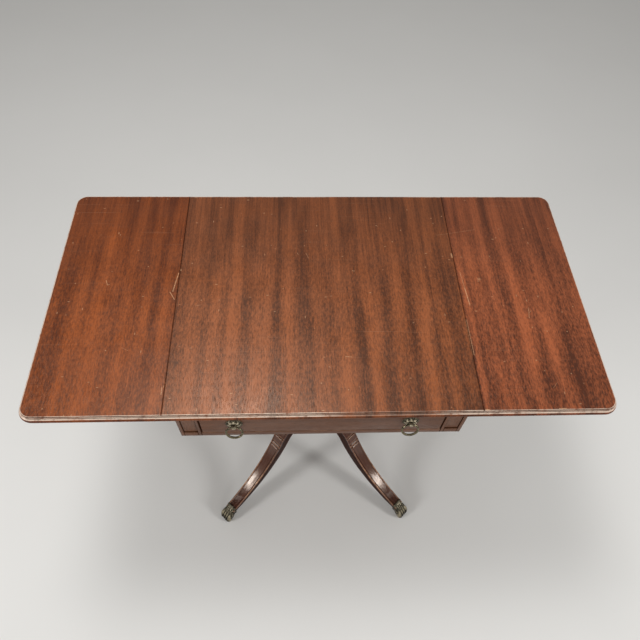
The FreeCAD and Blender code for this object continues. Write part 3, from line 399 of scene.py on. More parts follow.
@dataclass(frozen=True)
class RibbonMahogany(Mahogany):
    """Quarter-sawn top board whose ribbons run from back to front, with the marks that it has collected."""

    ribbons: tuple[Ribbon, ...] = ()
    scars: tuple[Mark, ...] = ()
    half_depth: float = 0.254
    margin: float = 0.02
    # Each row of four is a range of a value and the range that it is stretched to.
    sway: Quad = (0.25, 0.75, -0.006, 0.006)
    gain: Quad = (0.0, 0.7, 0.40, 1.28)
    fleck_gain: Quad = (0.1, 0.6, 0.06, 0.34)
    # The next two rows are painted light: the tone's lift towards the front, and its painted shade at the
    # front right.
    painted_light_base: Quad = (0.0, 0.6, 0.24, 0.50)
    right_shade: Quad = (0.05, 0.22, 0.0, 0.2)
    ragged: Quad = (0.35, 0.55, 0.35, 1.0)
    fade: Point = (0.36, 1.05)
    wave: Point = (-0.12, 0.12)
    kept_edges: tuple[Point, Point] = ((-0.01, 0.04), (0.24, 0.17))
    kept_share: float = 0.28
    fleck_size: Point = (0.070, 0.035)
    fleck_chosen: Point = (0.62, 0.64)
    hairline: Point = (0.735, 0.80)
    hairline_region: Point = (0.42, 0.62)
    fleck_cover: float = 0.6
    hairline_cover: float = 0.35
    scratch_tint: Colour = display(206, 158, 118)
    stain_tint: Colour = display(38, 22, 18)
    fleck_tint: Colour = display(196, 150, 112)
    hairline_tint: Colour = display(186, 136, 104)
    fleck_fields: tuple[tuple[float, Place], ...] = (
        (0, (46, 46, 1)), (38, (22, 66, 1)), (-47, (26, 80, 1)), (-8, (70, 20, 1)))
    hairline_fields: tuple[Point, ...] = ((24, 3), (-58, 11), (64, 29))

    def tone(self, graph: Graph, where: Socket) -> Socket:
        """Ribbons between their places at the back and at the front, over a tone with painted light towards
        the front.

        Args:
            graph: The material's nodes.
            where: Place on the piece.

        Returns:
            Tone from 0 to 1.
        """
        places = in_metres(*(ribbon.place for ribbon in self.ribbons))
        low, high = min(places) - self.margin, max(places) + self.margin
        parts = graph.node("ShaderNodeSeparateXYZ", {0: where}).outputs
        across = graph.plus(parts[0], graph.span(graph.cloud(where, (7, 3.4, 1)), *self.sway))
        place = graph.span(across, low, high)
        tones = []
        for side in (-1, 1):
            stops = []
            for ribbon in self.ribbons:
                middle, = in_metres(ribbon.place + ribbon.lean * side)
                stops.append(((middle - low) / (high - low), (ribbon.tone,) * 3 + (1.0,)))
            tones.append(graph.ramp(place, stops, ease=True))
        # The figure gains strength and light towards the front, where the fine flecks show as well; that
        # lighter tone is painted light, and the darkening at the front right is painted shade.
        forward = graph.span(parts[1], self.half_depth, -self.half_depth)
        fade = graph.spread(graph.cloud(where, (16, 6, 1), shift=(5, 5, 0)), *self.fade)
        strength = graph.times(fade, graph.span(forward, *self.gain))
        swing = graph.times(graph.math("SUBTRACT", graph.blend(forward, *tones), 0.5), strength)
        broken = graph.spread(graph.cloud(where, (380, 130, 1), 2.0, 0.6), -1.0, 1.0)
        fleck = graph.times(broken, graph.span(forward, *self.fleck_gain))
        shade = graph.times(graph.span(across, *self.right_shade), graph.span(forward, 0.6, 1.0))
        painted_light_base = graph.math("SUBTRACT", graph.span(forward, *self.painted_light_base), shade)
        tone = graph.plus(graph.plus(swing, fleck), painted_light_base)
        return graph.plus(tone, graph.spread(graph.cloud(where, (30, 5, 1)), *self.wave))

    def rubbing_and_highlight(self, graph: Graph, where: Socket) -> Socket:
        """Rubbing and painted highlight of the moulding, less in the stretch right of the middle that has
        kept its finish.

        Args:
            graph: The material's nodes.
            where: Place on the piece.

        Returns:
            Cover of the rubbed colour, from 0 to 1.
        """
        across = graph.node("ShaderNodeSeparateXYZ", {0: where}).outputs[0]
        kept = graph.times(*(graph.span(across, *edge) for edge in self.kept_edges))
        return graph.times(super().rubbing_and_highlight(graph, where), graph.span(kept, 0.0, 1.0, 1.0, self.kept_share))

    def marks(self, graph: Graph, where: Socket, colour: Any) -> Any:
        """Lay scratches, chips and specks over the wood.

        Args:
            graph: The material's nodes.
            where: Place on the piece.
            colour: The wood's colour.

        Returns:
            The marked colour.
        """
        line = worn_line_group()
        ragged = graph.span(graph.cloud(where, (420, 420, 420), 2.0, 0.7), *self.ragged)
        for dark, tint in ((False, self.scratch_tint), (True, self.stain_tint)):
            covers = [graph.node("ShaderNodeGroup", {
                "Place": where, "Start": in_metres(*scar.start, 0), "End": in_metres(*scar.end, 0),
                "Width": scar.width / MM_PER_METRE, "Strength": scar.strength}, node_tree=line).outputs[0]
                for scar in self.scars if scar.dark is dark]
            if covers:
                total = covers[0]
                for cover in covers[1:]:
                    total = graph.math("MAXIMUM", total, cover)
                colour = graph.blend(graph.times(total, ragged), colour, tint)
        flecks: Any = 0.0
        for turn, scale in self.fleck_fields:
            dots = graph.node("ShaderNodeTexVoronoi", {
                "Vector": graph.scaled(where, scale, turn, (turn, 1, 0)), "Scale": 1.0}).outputs
            chosen = graph.node("ShaderNodeSeparateColor", {0: dots["Color"]}).outputs[0]
            fleck = graph.span(dots["Distance"], *self.fleck_size)
            flecks = graph.math("MAXIMUM", flecks, graph.times(fleck, graph.span(chosen, *self.fleck_chosen)))
        hairlines: Any = 0.0
        for turn, shift in self.hairline_fields:
            strand = graph.cloud(where, (5, 1000, 1), 1.0, turn=turn, shift=(shift, shift, 0))
            hairlines = graph.math("MAXIMUM", hairlines, graph.span(strand, *self.hairline))
        region = graph.span(graph.cloud(where, (9, 9, 1), 1.0), *self.hairline_region)
        hairlines = graph.times(hairlines, region)
        colour = graph.blend(graph.times(flecks, self.fleck_cover), colour, self.fleck_tint)
        return graph.blend(graph.times(hairlines, self.hairline_cover), colour, self.hairline_tint)


def worn_line_group() -> bpy.types.NodeTree:
    """Node group that masks a straight worn line on a board.

    Returns:
        The group, made once.
    """
    name = "worn_line"
    made = bpy.data.node_groups.get(name)
    if made is not None:
        return made
    made = bpy.data.node_groups.new(name, "ShaderNodeTree")
    graph = Graph(made)
    for title, kind in (("Place", "Vector"), ("Start", "Vector"), ("End", "Vector"), ("Width", "Float"),
                        ("Strength", "Float")):
        made.interface.new_socket(title, in_out="INPUT", socket_type=f"NodeSocket{kind}")
    made.interface.new_socket("Cover", in_out="OUTPUT", socket_type="NodeSocketFloat")
    given = graph.node("NodeGroupInput").outputs
    level = graph.vector("MULTIPLY", {0: given["Place"], 1: (1, 1, 0)})
    offset = graph.vector("SUBTRACT", {0: level, 1: given["Start"]})
    run = graph.vector("SUBTRACT", {0: given["End"], 1: given["Start"]})
    along = graph.vector("DOT_PRODUCT", {0: offset, 1: run}, "Value")
    whole = graph.vector("DOT_PRODUCT", {0: run, 1: run}, "Value")
    share = graph.math("DIVIDE", along, whole, clamp=True)
    nearest = graph.vector("SCALE", {0: run, "Scale": share})
    away = graph.vector("DISTANCE", {0: offset, 1: nearest}, "Value")
    core = graph.times(given["Width"], 0.3)
    graph.node("NodeGroupOutput", {0: graph.span(away, given["Width"], core, 0.0, given["Strength"])})
    return made


@dataclass(frozen=True)
class Metal(Finish):
    """Metal with a dull skin in its hollows and a rubbed face on its high places."""

    skin: Colour
    rubbed: Colour
    rough: float
    bright: float
    patch: float
    bump: float = 0.3

    def paint(self, graph: Graph) -> dict[str, Any]:
        """Work out the surface.

        Args:
            graph: The material's nodes.

        Returns:
            Inputs of the surface shader.
        """
        where = graph.object_place()
        stain = graph.cloud(where, (self.patch,) * 3, 4.0, 0.62)
        grit = graph.cloud(where, (self.patch * 9,) * 3)
        raised = graph.plus(graph.attribute("relief"), self.bright)
        share = graph.plus(graph.span(stain, 0.32, 0.72, -0.35, 0.35), raised)
        colour = graph.ramp(share, ((0.0, self.skin), (1.0, self.rubbed)))
        rough = graph.span(share, 0.0, 1.0, self.rough + 0.18, self.rough - 0.06)
        bump = graph.node("ShaderNodeBump", {"Strength": self.bump, "Distance": FINE_RELIEF, "Height": grit})
        return {"Base Color": colour, "Roughness": rough, "Metallic": 0.85, "Normal": bump.outputs[0]}


@dataclass(frozen=True)
class PlainFloor(Finish):
    """Pale studio floor with a very faint cloudiness."""

    tint: Colour

    def paint(self, graph: Graph) -> dict[str, Any]:
        """Work out the inputs of the surface shader."""
        haze = graph.cloud(graph.object_place(), (3, 3, 3), 3.0)
        colour = graph.blend(haze, self.tint, dimmed(self.tint, 0.96))
        return {"Base Color": colour, "Roughness": 0.9, "Specular IOR Level": 0.2}


class Bench:
    """Where pieces are copied, softened, dressed and put on the body that carries them."""

    def __init__(self, packed: dict[str, Any]) -> None:
        """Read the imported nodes, their bodies and their slots."""
        self.nodes = packed["nodes"]
        self.slots = {row["node"]: row["material_slot"] for row in packed["record"]["subparts"]}
        self.bodies: dict[str, str] = {}
        for body, members in packed["record"]["behaviour"]["bodies"].items():
            self.bodies.update(dict.fromkeys(members, body))

    def seat(self, node: str, shape: BMesh, finish: Finish, smooth: float = 30.0,
             mesh: bpy.types.Mesh | None = None) -> None:
        """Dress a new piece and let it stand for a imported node.

        Args:
            node: Name of the node that it replaces.
            shape: The piece, which is freed.
            finish: Its finish.
            smooth: Greatest angle in degrees that is shaded smooth.
            mesh: Mesh to write to, or None for a new one.
        """
        piece = to_piece(f"{node}_dressed", shape, mesh, smooth)
        piece.data.materials.clear()
        piece.data.materials.append(finish.build())
        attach(piece, self.bodies[node])
        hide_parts(node)
        LOG.info("%s: %d faces, finish %s", piece.name, len(piece.data.polygons), finish.name)

    def soften(self, node: str, finish: Finish, width: float, steps: int = 2, corner: float = 35.0,
               handling: Handling | None = None, splits: Sequence[float] = (), border: float = 0.0) -> None:
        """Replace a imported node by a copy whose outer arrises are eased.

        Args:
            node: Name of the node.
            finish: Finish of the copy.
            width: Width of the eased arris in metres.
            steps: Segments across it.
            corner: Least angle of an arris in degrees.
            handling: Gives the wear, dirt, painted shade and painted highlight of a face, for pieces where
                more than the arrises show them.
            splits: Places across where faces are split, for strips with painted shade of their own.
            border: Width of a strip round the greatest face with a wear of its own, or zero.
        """
        mesh = self.nodes[node].data.copy()
        shape = bmesh.new()
        shape.from_mesh(mesh)
        bmesh.ops.remove_doubles(shape, verts=shape.verts, dist=PACKED_WELD)
        bmesh.ops.dissolve_limit(shape, angle_limit=math.radians(PACKED_FLAT), use_dissolve_boundaries=False,
                                 verts=shape.verts, edges=shape.edges, delimit={"NORMAL"})
        wear_and_highlight = shape.faces.layers.float.new("wear_and_highlight")
        dirt_and_shade = shape.faces.layers.float.new("dirt_and_shade")
        sharp = [edge for edge in shape.edges
                 if len(edge.link_faces) == 2 and edge.is_convex
                 and edge.calc_face_angle() > math.radians(corner) and edge.calc_length() > width * 2]
        made = bmesh.ops.bevel(shape, geom=sharp, offset=width, offset_type="OFFSET", segments=steps,
                               profile=0.5, affect="EDGES", material=-1, clamp_overlap=True)
        for face in made["faces"]:
            face[wear_and_highlight] = 1.0
        for place in splits:
            bmesh.ops.bisect_plane(shape, geom=[*shape.verts, *shape.edges, *shape.faces], dist=1e-6,
                                   plane_co=(place, 0, 0), plane_no=(1, 0, 0))
        if border:
            widest = max(shape.faces, key=lambda face: face.calc_area())
            bmesh.ops.inset_region(shape, faces=[widest], thickness=border, use_even_offset=True)
        for face in shape.faces if handling else ():
            face[wear_and_highlight], face[dirt_and_shade] = handling(face, face[wear_and_highlight] > 0.5)
        self.seat(node, shape, finish, mesh=mesh)

    def dress(self, finish: Finish, *nodes: str) -> None:
        """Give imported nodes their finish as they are.

        Args:
            finish: The finish.
            nodes: Names of the nodes.
        """
        for node in nodes:
            for slot in self.nodes[node].material_slots:
                slot.material = finish.build()
            LOG.info("%s: packed piece, finish %s", node, finish.name)


def to_piece(name: str, shape: BMesh, mesh: bpy.types.Mesh | None = None,
             smooth: float = 30.0) -> bpy.types.Object:
    """Turn a bmesh into an object of the scene, smooth up to an angle.

    Args:
        name: Name of the piece.
        shape: The bmesh, which is freed.
        mesh: Mesh to write to, or None for a new one.
        smooth: Greatest angle in degrees that is shaded smooth.

    Returns:
        The object.
    """
    mesh = mesh or bpy.data.meshes.new(name)
    for face in shape.faces:
        face.smooth = True
    for edge in shape.edges:
        edge.smooth = len(edge.link_faces) != 2 or edge.calc_face_angle(0.0) < math.radians(smooth)
    shape.to_mesh(mesh)
    shape.free()
    mesh.name = name
    piece = bpy.data.objects.new(name, mesh)
    bpy.context.scene.collection.objects.link(piece)
    return piece


def loft(shape: BMesh, sections: Sequence[Sequence[Vector]]) -> list[list[BMVert]]:
    """Extrude a ring through sections with equal counts of points and close both ends.

    Args:
        shape: The mesh to add to.
        sections: Points of each section in order.

    Returns:
        The rings of points.
    """
    first = bmesh.ops.create_circle(shape, cap_ends=False, radius=0.01, segments=len(sections[0]))["verts"]
    ring = [first[0]]
    while len(ring) < len(first):
        ring.append(next(edge.other_vert(ring[-1]) for edge in ring[-1].link_edges
                         if edge.other_vert(ring[-1]) not in ring))
    rings = [ring]
    for _ in sections[1:]:
        edges = [shape.edges.get((vert, ring[index - 1])) for index, vert in enumerate(ring)]
        made = bmesh.ops.extrude_edge_only(shape, edges=edges)
        fresh = {item for item in made["geom"] if isinstance(item, BMVert)}
        ring = [next(edge.other_vert(vert) for edge in vert.link_edges if edge.other_vert(vert) in fresh)
                for vert in ring]
        rings.append(ring)
    for ring, section in zip(rings, sections):
        for vert, place in zip(ring, section):
            vert.co = place
    for ring in (rings[0], rings[-1]):
        bmesh.ops.contextual_create(shape, geom=ring)
    bmesh.ops.recalc_face_normals(shape, faces=shape.faces)
    return rings


def spin_round(shape: BMesh, profile: list[Any], steps: int) -> Any:
    """Spin a profile once round the upright into a closed form.

    Args:
        shape: The mesh.
        profile: Its points and edges.
        steps: Number of steps.

    Returns:
        A layer for the relief of the form's points.
    """
    bmesh.ops.spin(shape, geom=profile, cent=(0, 0, 0), axis=(0, 0, 1), angle=math.tau, steps=steps,
                   use_merge=True)
    bmesh.ops.remove_doubles(shape, verts=shape.verts, dist=SPUN_WELD)
    bmesh.ops.holes_fill(shape, edges=shape.edges, sides=0)
    bmesh.ops.recalc_face_normals(shape, faces=shape.faces)
    return shape.verts.layers.float.new("relief")


@dataclass
class Pedestal:
    """Column, bearer, four sabre legs and their cast toes."""

    bench: Bench
    column_radius: float = 0.046
    hub_bottom: float = 0.182
    root_height: float = 0.056
    root_inset: float = 0.003
    knee_radius: float = 0.102
    knee_angle: float = 62.0
    knee_flat: float = 0.016
    knee_flat_share: float = 0.4
    knee_steps: int = 18
    under_radius: float = 0.050
    under_angle: float = 60.0
    sweep_steps: int = 34
    toe: Point = (0.312, 0.038)
    toe_depth: float = 0.019
    root_width: float = 0.031
    toe_width: float = 0.027
    bead: float = 0.0022
    quirk: float = 0.0016
    quirk_width: float = 0.0012
    reed: float = 0.0006
    reed_fade: float = 0.012
    reed_waves: float = 5.5
    crown: float = 0.0003
    lower_round: float = 0.0035
    lower_inset: float = 0.0054
    cut_depth: float = 0.0013
    cut_reach: float = 0.0010
    cut_margin: float = 0.004
    # Painted highlight along the lips of the cross cuts: middle and reach from a cut, strength, and depth
    # below the top.
    lip: Point = (0.0019, 0.0009)
    cut_lip_highlight: float = 0.7
    lip_depth: float = 0.003
    # Where along the sweep the fine reeds rise, and where the rubbed beads carry a painted highlight and how
    # much.
    fine_reeds: Point = (0.58, 0.3)
    bead_highlight_place: Point = (0.5, 0.3)
    bead_rub_and_highlight: Point = (0.5, 0.9)
    cross_cuts: tuple[float, ...] = (0.1280, 0.1400, 0.1450)
    corners: dict[str, float] = field(default_factory=lambda: {
        "rear_right": 45.0, "rear_left": 135.0, "front_left": 225.0, "front_right": 315.0})
    cap_outline: tuple[Quad, ...] = (
        (0.3021, 0.0180, 0.0430, 0.0142), (0.3030, 0.0172, 0.0446, 0.0154), (0.3045, 0.0158, 0.0450, 0.0157),
        (0.3060, 0.0140, 0.0440, 0.0151), (0.3070, 0.0128, 0.0427, 0.0145), (0.3100, 0.0086, 0.0410, 0.0142),
        (0.3140, 0.0030, 0.0382, 0.0146), (0.3180, 0.0003, 0.0338, 0.0155), (0.3220, 0.0000, 0.0296, 0.0163),
        (0.3260, 0.0000, 0.0256, 0.0166), (0.3300, 0.0000, 0.0212, 0.0158), (0.3332, 0.0006, 0.0162, 0.0138),
        (0.3352, 0.0020, 0.0112, 0.0104))
    cap_reach: float = 0.3362
    cap_points: int = 64
    cap_fine: int = 5
    cap_square: float = 3.2
    cap_relief: float = 0.0011
    # Start and length along the leg of the shaggy ankle, of the toes and of their knuckles.
    shag: Point = (0.3072, 0.0025)
    toes: Point = (0.3185, 0.009)
    knuckles: Point = (0.320, 0.013)
    # Height of the locks, the tufts and the knuckles, and the waves per metre that shape the hair.
    relief_heights: Place = (0.00045, 0.0009, 0.0009)
    lock_waves: Place = (520, 1250, 260)
    tuft_waves: Place = (210, 420, 260)
    clefts: tuple[float, ...] = (-0.0066, 0.0, 0.0066)
    cleft_reach: float = 0.0015
    cleft_depth: float = 0.0019
    toe_width_half: float = 0.0033
    toe_reach: Point = (0.0006, 0.0016)

    def sweep(self, start: Point, end: Point, angle: float) -> list[Point]:
        """Hollow arc that leaves a point down a slope and reaches another.

        Args:
            start: First point, as distance from the axis and height.
            end: Last point.
            angle: Slope at the start in degrees.

        Returns:
            The points after the first.
        """
        slope = math.radians(angle)
        run, rising = end[0] - start[0], end[1] - start[1]
        radius = (run * run + rising * rising) / (2 * (run * math.sin(slope) + rising * math.cos(slope)))
        centre = (start[0] + radius * math.sin(slope), start[1] + radius * math.cos(slope))
        last = math.asin((centre[0] - end[0]) / radius)
        turns = (slope + (last - slope) * step / self.sweep_steps for step in range(1, self.sweep_steps + 1))
        return [(centre[0] - radius * math.sin(turn), centre[1] - radius * math.cos(turn)) for turn in turns]

    def side_lines(self) -> list[tuple[Point, Point]]:
        """Upper and lower line of a leg, point against point.

        Returns:
            The pairs of points.
        """
        root_top, start = self.hub_bottom + self.root_height, self.column_radius - self.root_inset
        top, low = [(start, root_top)], [(start, self.hub_bottom)]
        flat_end, flat = self.column_radius + self.knee_flat, self.knee_flat_share
        for step in range(self.knee_steps + 1):
            turn = math.radians(self.knee_angle) * step / self.knee_steps
            top.append((self.column_radius + self.knee_radius * math.sin(turn),
                        root_top - self.knee_radius * (1 - math.cos(turn))))
            share = step / self.knee_steps
            if share < flat:
                low.append((self.column_radius + self.knee_flat * share / flat, self.hub_bottom))
            else:
                turn = math.radians(self.under_angle) * (share - flat) / (1 - flat)
                low.append((flat_end + self.under_radius * math.sin(turn),
                            self.hub_bottom - self.under_radius * (1 - math.cos(turn))))
        top += self.sweep(top[-1], self.toe, self.knee_angle)
        low += self.sweep(low[-1], (self.toe[0], self.toe[1] - self.toe_depth), self.under_angle)
        return list(zip(top, low))

    def stations(self) -> list[tuple[Point, Point]]:
        """Side lines of a leg with more places along them, closest at the cross cuts.

        Returns:
            Upper and lower point of each place.
        """
        lines = self.side_lines()
        places = []
        for here, following in zip(lines, lines[1:]):
            start, end = here[0][0] - self.cut_margin, following[0][0] + self.cut_margin
            count = 7 if any(start < cut < end for cut in self.cross_cuts) else 2
            for share in (split / count for split in range(count)):
                places.append(tuple((a[0] + (b[0] - a[0]) * share, a[1] + (b[1] - a[1]) * share)
                                    for a, b in zip(here, following)))
        return [*places, lines[-1]]

    def half_section(self, half: float, depth: float, reeded: float, fine: float, cut: float) -> list[Quad]:
        """Right half of a leg's section, from the middle of its top round to the middle of its underside.

        Args:
            half: Half its width.
            depth: Its depth.
            reeded: How far the beads stand out, from 0 to 1.
            fine: How far the fine reeds between them stand out, from 0 to 1.
            cut: Depth of a cut across it.

        Returns:
            Distance from the middle, depth below the top, wear and painted shade of each point.
        """
        bead, cut_shade = self.bead, cut / self.cut_depth * 0.7
        inner = half - bead * 2 - self.quirk_width
        points = []
        # Painted shade lies in the cross cut, in the hollows of the fine reeds and in the quirk beside the
        # bead.
        for share in (0.0, 0.08, 0.18, 0.28, 0.36, 0.45, 0.54, 0.62, 0.72, 0.82, 0.90, 1.0):
            wave = math.cos(share * math.pi * self.reed_waves)
            reed = wave * self.reed * fine * (share < 0.95)
            points.append((inner * share, cut + self.crown * share + reed, 0.0,
                           max(cut_shade, 0.9 * fine * max(wave, 0.0))))
        points.append((inner + self.quirk_width / 2, cut + self.quirk * reeded, 0.0, max(cut_shade, reeded)))
        for turn, rub in ((150, 0.1), (122, 0.5), (94, 0.9), (66, 0.9), (38, 0.5), (10, 0.0), (-18, 0.0)):
            angle = math.radians(turn)
            points.append((half - bead + bead * math.cos(angle), cut * 0.6 + bead - bead * math.sin(angle),
                           rub * reeded, cut_shade * 0.8))
        # Down the side: the quirk under the bead, then the flat face to the rounded lower corner, all in
        # painted shade like the underside.
        points += [(half - 0.0009 * reeded, bead * 1.9 + 0.0004, 0.0, 0.9 * reeded),
                   (half - 0.0005, bead * 2.6, 0.0, 0.75),
                   (half - 0.0006, depth * 0.45, 0.0, 0.65),
                   (half - 0.0014, depth * 0.75, 0.0, 0.7)]
        for angle in map(math.radians, (0, 30, 60, 90)):
            points.append((half - self.lower_inset + self.lower_round * math.cos(angle),
                           depth - self.lower_round + self.lower_round * math.sin(angle), 0.0, 0.5))
        return [*points, (0.0, depth, 0.0, 0.4)]

    def leg(self, corner: str) -> None:
        """Build one sabre leg from its side lines.

        Args:
            corner: Which leg.
        """
        turn = Matrix.Rotation(math.radians(self.corners[corner]), 4, "Z")
        knee_end = self.column_radius + self.knee_radius * math.sin(math.radians(self.knee_angle))
        sections, values, travelled, last = [], [], 0.0, None
        for upper, lower in self.stations():
            travelled += math.dist(upper, last or upper)
            last = upper
            share = rise(upper[0], knee_end, self.toe[0] - knee_end)
            half = (self.root_width + (self.toe_width - self.root_width) * share) / 2
            depth = math.dist(upper, lower)
            down = ((lower[0] - upper[0]) / depth, (lower[1] - upper[1]) / depth)
            away = min(abs(upper[0] - place) for place in self.cross_cuts)
            reeded = rise(upper[0], self.cross_cuts[-1], self.reed_fade)
            fine = reeded * rise(share, *self.fine_reeds)
            right = self.half_section(half, depth, reeded, fine,
                                      self.cut_depth * peak(away, 0.0, self.cut_reach))
            outline = right + [(-across, *rest) for across, *rest in reversed(right[1:-1])]
            sections.append([turn @ Vector((upper[0] + down[0] * below, across, upper[1] + down[1] * below))
                             for across, below, _, _ in outline])
            # The rubbed beads are lightened further where the highlight falls along the leg, and the lips of
            # the cross cuts get a painted highlight.
            lip = self.cut_lip_highlight * peak(away, *self.lip)
            bead_rub_and_highlight = self.bead_rub_and_highlight[0] + self.bead_rub_and_highlight[1] * peak(share, *self.bead_highlight_place)
            values.append([(Vector((across, travelled, below)),
                            max(rub * bead_rub_and_highlight, lip * (below < self.lip_depth)), darkening)
                           for across, below, rub, darkening in outline])
        shape = bmesh.new()
        # Each point carries its flow line, its wear with painted highlight, and its painted shade.
        flow = shape.verts.layers.float_vector.new("flow")
        wear_and_highlight = shape.verts.layers.float.new("wear_and_highlight")
        dirt_and_shade = shape.verts.layers.float.new("dirt_and_shade")
        for ring, marks in zip(loft(shape, sections), values):
            for vert, mark in zip(ring, marks):
                vert[flow], vert[wear_and_highlight], vert[dirt_and_shade] = mark
        self.bench.seat(f"leg_{corner}", shape, POLISHED, 50)

    def toe_cap(self, corner: str) -> None:
        """Model one cast toe: a banded collar, a shaggy ankle and toes with claws.

        Args:
            corner: Which leg.
        """
        outline, square, sections = self.cap_outline, self.cap_square, []
        for index in range((len(outline) - 1) * self.cap_fine + 1):
            low = min(index // self.cap_fine, len(outline) - 2)
            part = index / self.cap_fine - low
            reach, bottom, top, half = (a + (b - a) * part for a, b in zip(outline[low], outline[low + 1]))
            section = []
            for angle in (math.tau * step / self.cap_points for step in range(self.cap_points)):
                across, up = math.cos(angle), math.sin(angle)
                swell = (abs(across) ** square + abs(up) ** square) ** (-1 / square)
                section.append(Vector((reach, half * across * swell,
                                       (top + bottom) / 2 + (top - bottom) / 2 * up * swell)))
            sections.append(section)
        shape = bmesh.new()
        relief = shape.verts.layers.float.new("relief")
        rings = loft(shape, sections)
        shape.normal_update()
        moves = [(vert, vert.normal.copy(), self.cast_height(vert.co)) for ring in rings for vert in ring]
        for vert, normal, (height, toe_out) in moves:
            vert[relief] = height / self.cap_relief
            vert.co += normal * height
            vert.co.x = min(vert.co.x + toe_out, self.cap_reach)
            vert.co.z = max(vert.co.z, 0.0)
        shape.transform(Matrix.Rotation(math.radians(self.corners[corner]), 4, "Z"))
        self.bench.seat(f"toe_cap_{corner}", shape, CAST_TOE, 60)

    def cast_height(self, place: Vector) -> Point:
        """Relief of the cast toe at a place.

        Args:
            place: Place on the plain form, along the leg, across it and up.

        Returns:
            Height along the surface, and reach of a toe along the leg.
        """
        shag, toes = rise(place.x, *self.shag), rise(place.x, *self.toes)
        along, across, up = self.lock_waves
        lock = math.sin(place.y * across + math.sin(place.x * along) * 1.6 + place.z * up)
        tuft = noise.noise(Vector([part * wave for part, wave in zip(place, self.tuft_waves)]))
        lock_height, tuft_height, knuckle_height = self.relief_heights
        hair = (lock_height * lock + tuft_height * tuft) * shag * (1 - toes * 0.75)
        crease = min(abs(place.y - between) for between in self.clefts)
        cleft = -self.cleft_depth * peak(crease, 0.0, self.cleft_reach) * toes
        knuckle = knuckle_height * math.sin(rise(place.x, *self.knuckles) * math.pi) * toes
        least, most = self.toe_reach
        toe_out = least - most * toes * math.cos(rise(crease, 0.0, self.toe_width_half) * math.pi / 2)
        return hair + cleft + knuckle, toe_out

    def build(self) -> None:
        """Make every piece of the pedestal."""
        for corner in self.corners:
            self.leg(corner)
            self.toe_cap(corner)
        self.bench.soften("column", POLISHED_TURNED, 0.0004, corner=40)
        self.bench.soften("pedestal_bearer", BEARER, 0.0012, 3)
        self.bench.soften("leg_brace_plate", STEEL, 0.0004)
        self.bench.dress(STEEL, "bearer_screws", "brace_screws")


@dataclass
class Pull:
    """A ring pull: a pressed rosette, an eye post and a hanging ring."""

    bench: Bench
    side: str
    centre: Point = (0.155, 0.6205)
    face: float = -0.2365
    radius: float = 0.015
    thickness: float = 0.0055
    ring_radius: float = 0.0142
    wire: float = 0.0016
    eye: float = -0.2438
    tilt: float = 16.0
    ribs: int = 34
    wire_shares: Place = (0.98, 0.36, 0.08)
    pressed_from: float = 0.16
    profile_shares: tuple[Point, ...] = (
        (1.0, 0.0), (1.0, 0.18), (0.97, 0.30), (0.93, 0.38), (0.88, 0.37), (0.84, 0.34), (0.79, 0.48),
        (0.73, 0.72), (0.66, 0.92), (0.60, 1.0), (0.53, 0.97), (0.46, 0.82), (0.40, 0.60), (0.35, 0.46),
        (0.30, 0.42), (0.22, 0.42), (0.15, 0.42))
    # Border, petals and bud: place and reach as shares of the radius, wave and its number, bluntness, depth.
    pressed: tuple[tuple[Any, ...], ...] = (
        (0.91, 0.10, math.cos, 9, 1.0, 0.24), (0.68, 0.20, math.cos, 4, 0.6, 0.62),
        (0.42, 0.12, math.sin, 4, 0.6, 0.40))

    def stand(self, depth: float) -> Matrix:
        """Move from the upright to the pull's place across the drawer, at a depth."""
        sign = 1 if self.side == "right" else -1
        return Matrix.Translation((self.centre[0] * sign, depth, self.centre[1]))

    def rosette(self) -> None:
        """Spin the rosette and press its border and petals."""
        shape = bmesh.new()
        verts = [shape.verts.new((share * self.radius, 0, height * self.thickness))
                 for share, height in self.profile_shares]
        edges = [shape.edges.new(pair) for pair in zip(verts, verts[1:])]
        relief = spin_round(shape, verts + edges, 120)
        for vert in shape.verts:
            out = math.hypot(vert.co.x, vert.co.y) / self.radius
            angle = math.atan2(vert.co.y, vert.co.x)
            lift = sum(-peak(out, place, reach) * (1 - abs(wave(angle * number))) ** blunt * depth
                       for place, reach, wave, number, blunt, depth in self.pressed)
            if vert.co.z > self.thickness * self.pressed_from:
                vert.co.z += lift * self.thickness
                vert[relief] = vert.co.z / self.thickness * 1.1 - 0.55 + lift
        shape.transform(self.stand(self.face) @ QUARTER_TURN)
        self.bench.seat(f"pull_rosette_{self.side}", shape, LIGHTENED_ROSETTE_BRASS, 60)

    def ring(self) -> None:
        """Spin the ring, a little thicker where the hand takes it."""
        shape = bmesh.new()
        wire = bmesh.ops.create_circle(shape, cap_ends=False, radius=self.wire, segments=18,
                                       matrix=Matrix.Translation((self.ring_radius, 0, 0)) @ QUARTER_TURN)
        edges = list({edge for vert in wire["verts"] for edge in vert.link_edges})
        relief = spin_round(shape, wire["verts"] + edges, 88)
        for vert in shape.verts:
            middle = Vector((vert.co.x, vert.co.y, 0)).normalized() * self.ring_radius
            angle = math.atan2(vert.co.y, vert.co.x)
            low, rib = (1 - math.cos(angle - math.pi / 2)) / 2, math.cos(angle * self.ribs)
            plain, grip, ribbed = self.wire_shares
            vert.co = middle + (vert.co - middle) * (plain + (grip + ribbed * rib) * math.sqrt(low))
            vert[relief] = 0.15 * low + 0.35 * rib
        shape.transform(self.stand(self.eye) @ Matrix.Rotation(math.radians(-self.tilt), 4, "X")
                        @ Matrix.Translation((0, 0, -self.ring_radius)) @ QUARTER_TURN)
        self.bench.seat(f"pull_ring_{self.side}", shape, AGED_BRASS, 60)

    def build(self) -> None:
        """Make the pull's pieces."""
        self.rosette()
        self.ring()
        self.bench.soften(f"pull_post_{self.side}", LIGHTENED_ROSETTE_BRASS, 0.0003)


